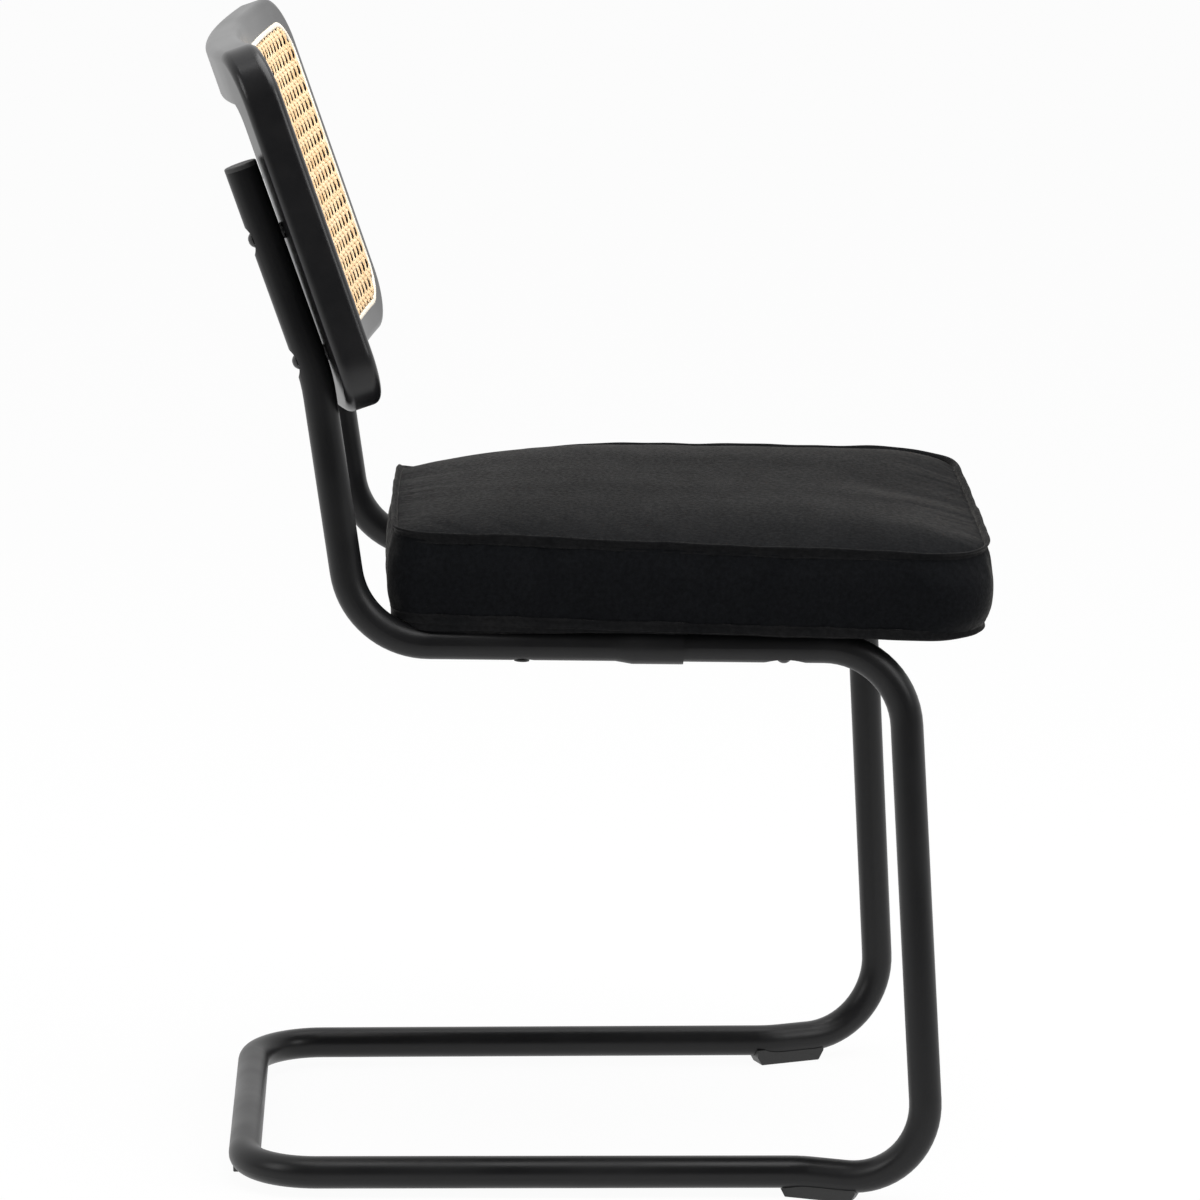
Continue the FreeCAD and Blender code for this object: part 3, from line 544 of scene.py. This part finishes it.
def make_spline():
    """Reed bead pressed into the groove, its two ends meeting at the middle of the lower rail."""
    steps = 420
    inset = SPLINE_WIDTH / 2 + GROOVE_GAP
    half_w = flat_to_arc(BACK_HALF_W - SPLINE_SIDE - inset)
    path, length = ring_points(half_w, SPLINE_END + inset, BACK_HEIGHT - SPLINE_END - inset,
                               SPLINE_CORNER_R - inset, steps)
    way = np.roll(path, -1, axis=0) - np.roll(path, 1, axis=0)
    way /= np.linalg.norm(way, axis=1)[:, None]
    across = np.stack([way[:, 1], -way[:, 0]], axis=1)
    half = SPLINE_WIDTH / 2
    profile = [(-half, -SPLINE_DEPTH), (-half, GROOVE_GAP)]
    bead = 9
    for k in range(bead):
        turn = math.pi * (1 - (k + 0.5) / bead)
        profile.append((half * math.cos(turn), GROOVE_GAP + (SPLINE_PROUD - GROOVE_GAP) * math.sin(turn)))
    profile += [(half, GROOVE_GAP), (half, -SPLINE_DEPTH)]
    points = []
    for side, lift in profile:
        spots = path + across * side
        points.append(on_back(spots[:, 0], spots[:, 1], np.full(steps, lift)))
    n = len(profile)
    points = np.stack(points, axis=1).reshape(-1, 3)
    faces = []
    for k in range(steps - 1):
        for j in range(n):
            faces.append((k * n + j, (k + 1) * n + j, (k + 1) * n + (j + 1) % n, k * n + (j + 1) % n))
    faces.append(list(range(n)))
    faces.append([(steps - 1) * n + j for j in reversed(range(n))])
    piece = mesh_piece("reed_spline", points, faces)
    uv = piece.data.uv_layers.new(name="along")
    spots = np.array([loop.vertex_index for loop in piece.data.loops])
    coordinates = np.stack([(spots // n) * length / steps, (spots % n) * 0.001], axis=1)
    uv.data.foreach_set("uv", coordinates.astype(np.float32).ravel())
    piece.data.materials.append(reed())
    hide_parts("back_spline")
    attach(piece, "root")


def flat_top(wave):
    """Squares off a cosine, so that a strand lies level where it crosses a pair."""
    return wave * (1.5 - 0.5 * wave * wave)


def pair_weave(along, parity):
    """Height of a straight strand as it passes over and under the two strands of each pair it meets."""
    half = CANE_PAIR / CANE_PITCH / 2
    spot = (along / CANE_PITCH + 0.5) % 1.0 - 0.5
    inner = np.cos(math.pi * (spot + half) / (2 * half))
    outer = -np.cos(math.pi * (np.abs(spot) - half) / (1 - 2 * half)) * np.sign(spot)
    return parity * np.where(np.abs(spot) < half, inner, outer)


def inside_ring(x, z, half_w, low, high, radius):
    dx = np.maximum(np.abs(x) - (half_w - radius), 0)
    dz = np.maximum(np.abs(z - (low + high) / 2) - ((high - low) / 2 - radius), 0)
    return np.hypot(dx, dz) <= radius


def strand_lines(half_w, low, high, radius):
    """Every strand as (points x and z, height, width), cut to the opening of the backrest."""
    middle = (low + high) / 2
    step = CANE_PITCH / 8
    amplitude = WEAVE_LIFT / 2
    columns = int(half_w / CANE_PITCH) + 1
    rows = int((high - low) / 2 / CANE_PITCH) + 1
    lines = []

    def add(x, z, height, width):
        keep = np.flatnonzero(inside_ring(x, z, half_w, low, high, radius))
        if len(keep) > 4:
            span = slice(keep[0], keep[-1] + 1)
            lines.append((x[span], z[span], height[span], width))

    tall = np.arange(low, high + step, step)
    for i in range(-columns, columns + 1):
        for k, side in enumerate((-0.5, 0.5)):
            x = np.full_like(tall, i * CANE_PITCH + side * CANE_PAIR)
            add(x, tall, amplitude * pair_weave(tall - middle, 1 - 2 * k), STRAND_WIDTH)
    wide = np.arange(-half_w, half_w + step, step)
    for j in range(-rows, rows + 1):
        for k, side in enumerate((-0.5, 0.5)):
            z = np.full_like(wide, middle + j * CANE_PITCH + side * CANE_PAIR)
            add(wide, z, -amplitude * pair_weave(wide, 1 - 2 * k), STRAND_WIDTH)
    lift = WEAVE_LIFT * 1.06
    for slope in (1, -1):
        reach = int((half_w + (high - low) / 2) / CANE_PITCH) + 1
        for c in range(-reach, reach + 1):
            x = wide
            z = middle + slope * (x - (c + 0.5) * CANE_PITCH)
            height = slope * lift * flat_top(np.cos(2 * math.pi * x / CANE_PITCH))
            add(x, z, height, DIAGONAL_WIDTH)
    return lines


def make_cane():
    """Six-way weave: pairs of upright and level strands, and two slanting sets that lock them."""
    inset = SPLINE_WIDTH + GROOVE_GAP
    half_w = flat_to_arc(BACK_HALF_W - SPLINE_SIDE) - inset
    low, high = SPLINE_END + inset, BACK_HEIGHT - SPLINE_END - inset
    lines = strand_lines(half_w, low, high, SPLINE_CORNER_R - inset)
    n = len(STRAND_SECTION)
    points, faces, along, tones = [], [], [], []
    draws = np.random.default_rng(7)
    total = 0
    for x, z, height, width in lines:
        way = np.stack([np.gradient(x), np.gradient(z)], axis=1)
        way /= np.linalg.norm(way, axis=1)[:, None]
        across = np.stack([way[:, 1], -way[:, 0]], axis=1)
        run = np.concatenate([[0], np.cumsum(np.hypot(np.diff(x), np.diff(z)))])
        tone = draws.random()
        start = draws.random() * 3
        span = width * (0.96 + 0.08 * draws.random())
        drift = STRAND_DRIFT * np.sin(run / DRIFT_LENGTH + draws.random() * 6.3)
        rings = []
        for side, lift in STRAND_SECTION:
            px = x + across[:, 0] * (side * span + drift)
            pz = z + across[:, 1] * (side * span + drift)
            rings.append(on_back(px, pz, CANE_FRONT + height + lift * STRAND_THICK))
        count = len(x)
        points.append(np.stack(rings, axis=1).reshape(-1, 3))
        k = np.arange(count - 1)[:, None] * n + total
        j = np.arange(n)[None, :]
        following = (j + 1) % n
        quads = np.stack([k + j, k + following, k + n + following, k + n + j], axis=-1).reshape(-1, 4)
        faces.extend(quads.tolist())
        faces.append([total + m for m in reversed(range(n))])
        faces.append([total + (count - 1) * n + m for m in range(n)])
        along.append(np.repeat(run + start, n))
        tones.append(np.full(count * n, tone))
        total += count * n
    piece = mesh_piece("woven_cane", np.concatenate(points), faces)
    mesh = piece.data
    along, tones = np.concatenate(along), np.concatenate(tones)
    attribute = mesh.attributes.new("tone", "FLOAT", "POINT")
    attribute.data.foreach_set("value", tones.astype(np.float32))
    spots = np.zeros(len(mesh.loops), int)
    mesh.loops.foreach_get("vertex_index", spots)
    uv = mesh.uv_layers.new(name="along")
    coordinates = np.stack([along[spots], (spots % n) * 0.0004 + tones[spots]], axis=1)
    uv.data.foreach_set("uv", coordinates.astype(np.float32).ravel())
    mesh.materials.append(woven_cane())
    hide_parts("back_cane_panel")
    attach(piece, "root")


# Seat cushion, in the seat's own frame

def seat_ring(bulge, count, step):
    """Evenly spaced outline of the seat, from the middle of the far rear corner: x, y and height.

    The step runs from 0 at the bottom seam to 1 at the top one.
    """
    bow = math.radians(SIDE_BOW)
    half_w = SEAT_HALF_W + bulge
    front, rear = SEAT_FRONT - bulge, SEAT_REAR + bulge
    signs = ((1, 1, rear), (-1, 1, rear), (-1, -1, front), (1, -1, front))
    steps = 24
    arcs = []
    for k, (sx, sy, edge_y) in enumerate(signs):
        radius = FOOT_R[k] + (CORNER_R[k] - FOOT_R[k]) * step - CORNER_FILL[k] * bulge / SIDE_BULGE + bulge
        cx = sx * (half_w - radius * math.cos(bow))
        cy = edge_y - sy * radius * math.cos(bow)
        turns = k * math.pi / 2 + bow + (math.pi / 2 - 2 * bow) * np.arange(steps + 1) / steps
        arcs.append(np.column_stack([cx + radius * np.cos(turns), cy + radius * np.sin(turns)]))
    dense = []
    share = np.arange(1, 40)[:, None] / 40
    for k, arc in enumerate(arcs):
        start, end = arc[-1], arcs[(k + 1) % 4][0]
        chord = end - start
        length = np.linalg.norm(chord)
        outward = np.array([chord[1], -chord[0]]) / length
        sag = length / 2 * math.tan(bow / 2)
        dense += [arc, start + chord * share + outward * sag * 4 * share * (1 - share)]
    dense = np.roll(np.vstack(dense), -(steps // 2), axis=0)
    dense = np.vstack([dense, dense[:1]])
    run = np.concatenate([[0], np.cumsum(np.linalg.norm(np.diff(dense, axis=0), axis=1))])
    centre = np.array([0.0, SEAT_MIDDLE])
    marks = [0.0]
    for sx, sy, _ in signs[1:]:
        marks.append(run[int(np.argmax((dense[:-1] - centre) @ np.array([sx, sy])))])
    side = count // 4
    at = np.concatenate([a + (b - a) * np.arange(side) / side for a, b in zip(marks, marks[1:] + [run[-1]])])
    x, y = np.interp(at, run, dense[:, 0]), np.interp(at, run, dense[:, 1])
    return np.column_stack([x, y, seam_height(x, y, at / run[-1])])


def seam_height(x, y, share):
    """How a seam departs from its level: it rises to the rear, slumps at the corners and waves a little.

    The far side rises to the front instead.
    """
    along = y - SEAT_MIDDLE
    height = SEAM_RISE * along / SEAT_HALF_D
    height = height + np.clip(x / SEAT_HALF_W, 0, 1) * (FAR_LIFT + FAR_TWIST * along / SEAT_HALF_D)
    for slump, spread, sx, sy in zip(CORNER_SLUMP, SLUMP_SPREAD, (1, -1, -1, 1), (1, 1, -1, -1)):
        away = np.hypot(x - sx * SEAT_HALF_W, along - sy * SEAT_HALF_D)
        height = height - slump * np.exp(-(away / spread) ** 2)
    for turns, part, phase in SEAM_WAVES:
        height = height + SEAM_WAVE * part * np.sin(2 * math.pi * turns * share + phase)
    return height


def side_rings(count):
    """Outlines up the side, from the bottom seam to the top one."""
    rings = []
    for row in range(SIDE_ROWS + 1):
        step = row / SIDE_ROWS
        swell = math.sin(math.pi * min(max((step - 0.03) / 0.94, 0), 1)) ** 0.7
        ring = seat_ring(SIDE_BULGE * swell, count, step)
        ring[:, 2] = BOTTOM_SEAM + step * (TOP_SEAM - BOTTOM_SEAM) + (0.3 + 0.7 * step) * ring[:, 2]
        rings.append(ring)
    return rings


def patch(ring, offset, ring_start, crown, spread, lean):
    """Fills a ring with a grid that joins it, crowned up or down. Returns new points and faces.

    The lean makes the crown higher at the front, where it is negative, or at the rear.
    """
    side = len(ring) // 4
    loop = np.vstack([ring, ring[:1]])
    a, b, c, d = (loop[k * side:(k + 1) * side + 1] for k in range(4))
    c, d = c[::-1], d[::-1]
    index = np.zeros((side + 1, side + 1), int)
    steps = np.arange(side)
    index[steps, 0] = ring_start + steps
    index[side, steps] = ring_start + side + steps
    index[side - steps, side] = ring_start + 2 * side + steps
    index[0, side - steps] = ring_start + 3 * side + steps
    index[1:side, 1:side] = offset + np.arange((side - 1) ** 2).reshape(side - 1, side - 1)
    u = np.arange(1, side)[:, None, None] / side
    v = np.arange(1, side)[None, :, None] / side
    inner = (1 - v) * a[1:-1, None] + v * c[1:-1, None] + (1 - u) * d[None, 1:-1] + u * b[None, 1:-1]
    inner = inner - ((1 - u) * (1 - v) * a[0] + u * (1 - v) * a[-1] + (1 - u) * v * c[0] + u * v * c[-1])
    inner = inner.reshape(-1, 3)
    away = np.min(np.linalg.norm(inner[:, None, :2] - ring[None, :, :2], axis=2), axis=1)
    along = (inner[:, 1] - SEAT_MIDDLE) / SEAT_HALF_D
    inner[:, 2] += crown * (1 + lean * along) * (1 - np.exp(-away / spread))
    quads = np.stack([index[:-1, :-1], index[1:, :-1], index[1:, 1:], index[:-1, 1:]], axis=-1).reshape(-1, 4)
    if crown < 0:
        quads = quads[:, ::-1]
    return inner, quads.tolist()


def inflate(piece, pinned, tight):
    """Lets the sewn cover settle round its foam: cloth held at the seams and blown out from inside."""
    for name, weights in (("seams", pinned), ("tight", tight)):
        group = piece.vertex_groups.new(name=name)
        for k in np.flatnonzero(weights):
            group.add([int(k)], float(weights[k]), "REPLACE")
    cloth = piece.modifiers.new("cover", "CLOTH")
    settings = cloth.settings
    settings.quality = 6
    settings.mass = 0.3
    settings.use_pressure = True
    settings.uniform_pressure_force = AIR_PRESSURE
    settings.vertex_group_mass = "seams"
    settings.vertex_group_shrink = "tight"
    settings.shrink_min = -SIDE_SLACK
    settings.shrink_max = -TOP_SLACK
    settings.effector_weights.gravity = 0
    cloth.collision_settings.use_collision = False
    cloth.point_cache.frame_start = 1
    cloth.point_cache.frame_end = SETTLE_FRAMES
    scene = bpy.context.scene
    for step in range(1, SETTLE_FRAMES + 1):
        scene.frame_set(step)
    settled = piece.evaluated_get(bpy.context.evaluated_depsgraph_get()).data
    after = coordinates_of(settled)
    piece.modifiers.remove(cloth)
    scene.frame_set(1)
    before = coordinates_of(piece.data)
    move = after - before
    length = np.linalg.norm(move, axis=1)
    reach = FURTHEST_MOVE * np.tanh(length / FURTHEST_MOVE)
    move *= (reach / np.maximum(length, 1e-9))[:, None]
    set_coordinates(piece.data, before + move)
    piece.vertex_groups.clear()
    print("cover settled, most moved %.4f of %.4f" % (reach.max(), length.max()))


def coordinates_of(mesh):
    values = np.zeros(len(mesh.vertices) * 3, np.float32)
    mesh.vertices.foreach_get("co", values)
    return values.reshape(-1, 3).astype(float)


def set_coordinates(mesh, values):
    mesh.vertices.foreach_set("co", values.astype(np.float32).ravel())
    mesh.update()


def subdivided(piece):
    """One level of subdivision, applied."""
    piece.modifiers.new("fine", "SUBSURF").levels = 1
    fine = bpy.data.meshes.new_from_object(piece.evaluated_get(bpy.context.evaluated_depsgraph_get()))
    piece.modifiers.clear()
    piece.data = fine


def pucker(piece, seam, seat_place):
    """Small gathers that run in from the top seam, and the soft unevenness of foam under cloth."""
    mesh = piece.data
    points = coordinates_of(mesh)
    normals = np.zeros(len(mesh.vertices) * 3, np.float32)
    mesh.vertices.foreach_get("normal", normals)
    normals = normals.reshape(-1, 3)
    local = (points - seat_place[:3, 3]) @ seat_place[:3, :3]
    lengths = np.linalg.norm(np.diff(np.vstack([seam, seam[:1]]), axis=0), axis=1)
    run = np.concatenate([[0], np.cumsum(lengths)[:-1]])
    shift = np.zeros(len(points))
    for k, (x, y, z) in enumerate(local):
        if z < BOTTOM_SEAM + 0.004:
            continue
        broad = noise.noise(Vector((x * 14, y * 14, z * 20 + 3)))
        shift[k] = UNEVENNESS * broad
        gaps = np.hypot(seam[:, 0] - x, seam[:, 1] - y)
        nearest = int(np.argmin(gaps))
        away = math.hypot(gaps[nearest], max(seam[nearest, 2] - 0.001 - z, 0) * 1.5)
        if SEAM_EDGE < away < 3 * PUCKER_REACH:
            where = run[nearest]
            patchy = 0.35 + 0.65 * max(noise.noise(Vector((where * 9, 1.7, 0))) + 0.35, 0)
            gather = noise.noise(Vector((where * PUCKER_PITCH + away * 12, away * 18, 5.2)))
            rise = min((away - SEAM_EDGE) / 0.004, 1)
            shift[k] += PUCKER * patchy * gather * rise * math.exp(-away / PUCKER_REACH)
    set_coordinates(mesh, points + normals * shift[:, None])


def make_cushion():
    """The velvet box cushion: side, crowned top and flat underside as one closed cover."""
    rings = side_rings(OUTLINE_POINTS)
    points = np.concatenate(rings)
    row, k = np.meshgrid(np.arange(SIDE_ROWS), np.arange(OUTLINE_POINTS), indexing="ij")
    low, following = row * OUTLINE_POINTS, (k + 1) % OUTLINE_POINTS
    high = low + OUTLINE_POINTS
    faces = np.stack([low + k, low + following, high + following, high + k], axis=-1).reshape(-1, 4).tolist()
    top_row = SIDE_ROWS * OUTLINE_POINTS
    top, top_faces = patch(rings[-1], len(points), top_row, CROWN, CROWN_SPREAD, CROWN_LEAN)
    top_start, points = len(points), np.vstack([points, top])
    base, base_faces = patch(rings[0], len(points), 0, -WRAP_DROP, WRAP_SPREAD, 0.0)
    base_start, points = len(points), np.vstack([points, base])
    piece = mesh_piece("seat_cushion", placed(points, SEAT_FRAME), faces + top_faces + base_faces)
    pinned = np.zeros(len(points))
    pinned[:OUTLINE_POINTS] = 1
    pinned[top_start - OUTLINE_POINTS:top_start] = 1
    pinned[base_start:] = 1
    tight = np.zeros(len(points))
    tight[top_start:] = 1
    inflate(piece, pinned, tight)
    subdivided(piece)
    pucker(piece, rings[-1], SEAT_FRAME)
    piece.data.materials.append(velvet("velvet", (0.0028, 0.0032, 0.0040), (0.0042, 0.0046, 0.0054), 0.24))
    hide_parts("seat_foam", "seat_side_band", "seat_top_panel")
    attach(piece, "root")
    return rings[0], rings[-1]


# Welt profiles as (outwards, upwards) in millimetres: a flat band with a lip above and a stitched edge below.
# The last number is how far the point follows the rail down, at the rear, where the board stands off it.
MM = 0.001
WELT_DROP = 0.0038
HANG_END = 0.003
HANG_FADE = 0.020
TOP_WELT = ((-2.4, -2.6, 0), (-0.3, -4.0, 0), (0.9, -4.2, 0), (1.7, -3.7, 0), (1.7, -3.1, 0), (0.5, -2.3, 0),
            (0.5, -1.2, 0), (0.8, 0.0, 0), (1.1, 1.3, 0), (1.8, 2.2, 0), (2.7, 3.0, 0), (2.7, 3.9, 0),
            (1.7, 4.4, 0), (0.5, 4.1, 0), (-1.8, 2.5, 0))
BOTTOM_WELT = ((-5.0, 0.4, 0), (-5.2, -3.0, 0.92), (-4.6, -3.6, 1), (-3.7, -3.6, 1), (-3.3, -3.0, 0.9),
               (-2.2, -3.4, 0.6), (-0.9, -3.9, 0.62), (-0.3, -3.6, 0.6), (-0.1, -3.2, 0.45), (-0.1, -2.9, 0.1),
               (0.8, -2.8, 0), (1.7, -2.2, 0), (1.3, -1.3, 0), (0.8, 0.6, 0), (1.0, 2.6, 0), (2.2, 3.4, 0),
               (2.3, 4.3, 0), (1.2, 4.9, 0), (-0.8, 4.0, 0), (-2.4, 2.4, 0))


def follow_rail(ring):
    """How far the cover's lower edge hangs below the welt to close the gap over the near and far rails."""
    gap = -(RAIL_HEIGHT + RAIL_SLOPE * (ring[:, 1] - RAIL_AT)) - WELT_DROP
    corner = np.clip((SEAT_REAR - HANG_END - ring[:, 1]) / HANG_FADE, 0, 1)
    return np.maximum(gap, 0) * corner * corner * (3 - 2 * corner)


def make_welt(name, ring, profile, node):
    """A closed band of velvet round the cushion, along a seam, in a paler copy of the cushion's velvet that paints in
    the light the piping catches.
    """
    loops = len(ring)
    ahead = np.roll(ring, -1, axis=0) - np.roll(ring, 1, axis=0)
    ahead[:, 2] = 0
    ahead /= np.linalg.norm(ahead, axis=1)[:, None]
    outward = np.column_stack([ahead[:, 1], -ahead[:, 0], np.zeros(loops)])
    share = np.arange(loops) / loops
    swell = 1 + 0.05 * np.sin(2 * math.pi * 17 * share) + 0.04 * np.sin(2 * math.pi * 41 * share + 1.3)
    hang = follow_rail(ring)
    strands = []
    for out, up, follow in profile:
        rise = np.column_stack([np.zeros((loops, 2)), MM * up * swell - hang * follow])
        strands.append(ring + outward * (MM * out * swell)[:, None] + rise)
    n = len(profile)
    points = np.stack(strands, axis=1).reshape(-1, 3)
    k, j = np.meshgrid(np.arange(loops), np.arange(n), indexing="ij")
    here, beyond, following = k * n, (k + 1) % loops * n, (j + 1) % n
    faces = np.stack([here + j, beyond + j, beyond + following, here + following], axis=-1).reshape(-1, 4)
    piece = mesh_piece(name, placed(points, SEAT_FRAME), faces.tolist())
    subdivided(piece)
    # Painted highlight: the welts get a lighter copy of the cushion's velvet, paler in colour and with more sheen, to
    # stand in for the light line along the piping's lip.
    piece.data.materials.append(velvet(name + "_velvet_painted_highlight", (0.0045, 0.0048, 0.0054), (0.008, 0.008, 0.0084), 0.34))
    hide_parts(node)
    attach(piece, "root")


def make_dust_cover():
    """Black cloth stapled under the board, drawn tight, with shallow sags between its staples."""
    thick, count = 0.0008, 48
    half_w, front, rear = 0.185, SEAT_FRONT + 0.032, SEAT_REAR - 0.034
    u, v = np.meshgrid(np.linspace(-1, 1, count + 1), np.linspace(-1, 1, count + 1), indexing="ij")
    middle, half = (front + rear) / 2, (rear - front) / 2
    scallop = 0.0012 * np.cos(math.pi * 9 * v) * np.abs(u) ** 6
    x = u * half_w - np.sign(u) * (0.0012 * np.abs(u) ** 6 + scallop)
    y = middle + v * (half - 0.001 * (1 + np.cos(math.pi * 9 * u)) * np.abs(v) ** 6)
    sag = -0.0012 - 0.0022 * (1 - u ** 2) * (1 - v ** 2)
    under = np.stack([x, y, sag - thick], axis=-1).reshape(-1, 3)
    over = np.stack([x, y, sag], axis=-1).reshape(-1, 3)
    size = (count + 1) ** 2
    index = np.arange(size).reshape(count + 1, count + 1)
    quads = np.stack([index[:-1, :-1], index[:-1, 1:], index[1:, 1:], index[1:, :-1]], axis=-1).reshape(-1, 4)
    rim = np.concatenate([index[:-1, 0], index[-1, :-1], index[:0:-1, -1], index[0, :0:-1]])
    edge = np.stack([rim, np.roll(rim, -1), np.roll(rim, -1) + size, rim + size], axis=-1)
    faces = quads.tolist() + (quads[:, ::-1] + size).tolist() + edge.tolist()
    piece = mesh_piece("dust_cover", placed(np.vstack([under, over]), SEAT_FRAME), faces)
    piece.data.materials.append(dust_cloth())
    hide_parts("seat_dust_cover")
    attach(piece, "root")


def make_backrest():
    dress(black_lacquer(), "back_bottom_rail", "back_top_rail", "back_stile_left", "back_stile_right")
    dress(raw_wood("beech", (0.72, 0.55, 0.36), (0.60, 0.42, 0.25)), "back_dowels")
    dress(bare_metal("brass", (0.80, 0.62, 0.30), 0.3), "back_inserts")
    make_spline()
    make_cane()


def make_frame():
    dress(powder_coat(), "lower_frame", "side_tube_left", "side_tube_right")
    dress(plain_black("cap_plastic", 0.030, 0.5, 900, 0.00005), "end_cap_left", "end_cap_right")
    dress(plain_black("glide_plastic", 0.016, 0.45, 700, 0.00005),
          "front_glide_left", "front_glide_right", "rear_glide_left", "rear_glide_right")
    dress(plain_black("black_oxide", 0.018, 0.35, 1200, 0.00004), "back_bolts", "seat_front_bolts", "seat_rear_bolts")
    dress(plain_black("washer_plastic", 0.02, 0.5, 900, 0.00004), "back_washers", "seat_front_washers",
          "seat_rear_spacers")
    dress(bare_metal("zinc", (0.62, 0.63, 0.65), 0.35), "seat_tee_nuts")


def make_seat():
    dress(raw_wood("plywood", (0.70, 0.55, 0.38), (0.55, 0.40, 0.25)), "seat_board")
    bottom_seam, top_seam = make_cushion()
    make_welt("top_welt", top_seam, TOP_WELT, "seat_top_piping")
    make_welt("bottom_welt", bottom_seam, BOTTOM_WELT, "seat_bottom_piping")
    make_dust_cover()


make_camera()
make_world()
make_floor()
make_lights()
make_frame()
make_backrest()
make_seat()

bpy.context.scene.view_settings.view_transform = "Standard"
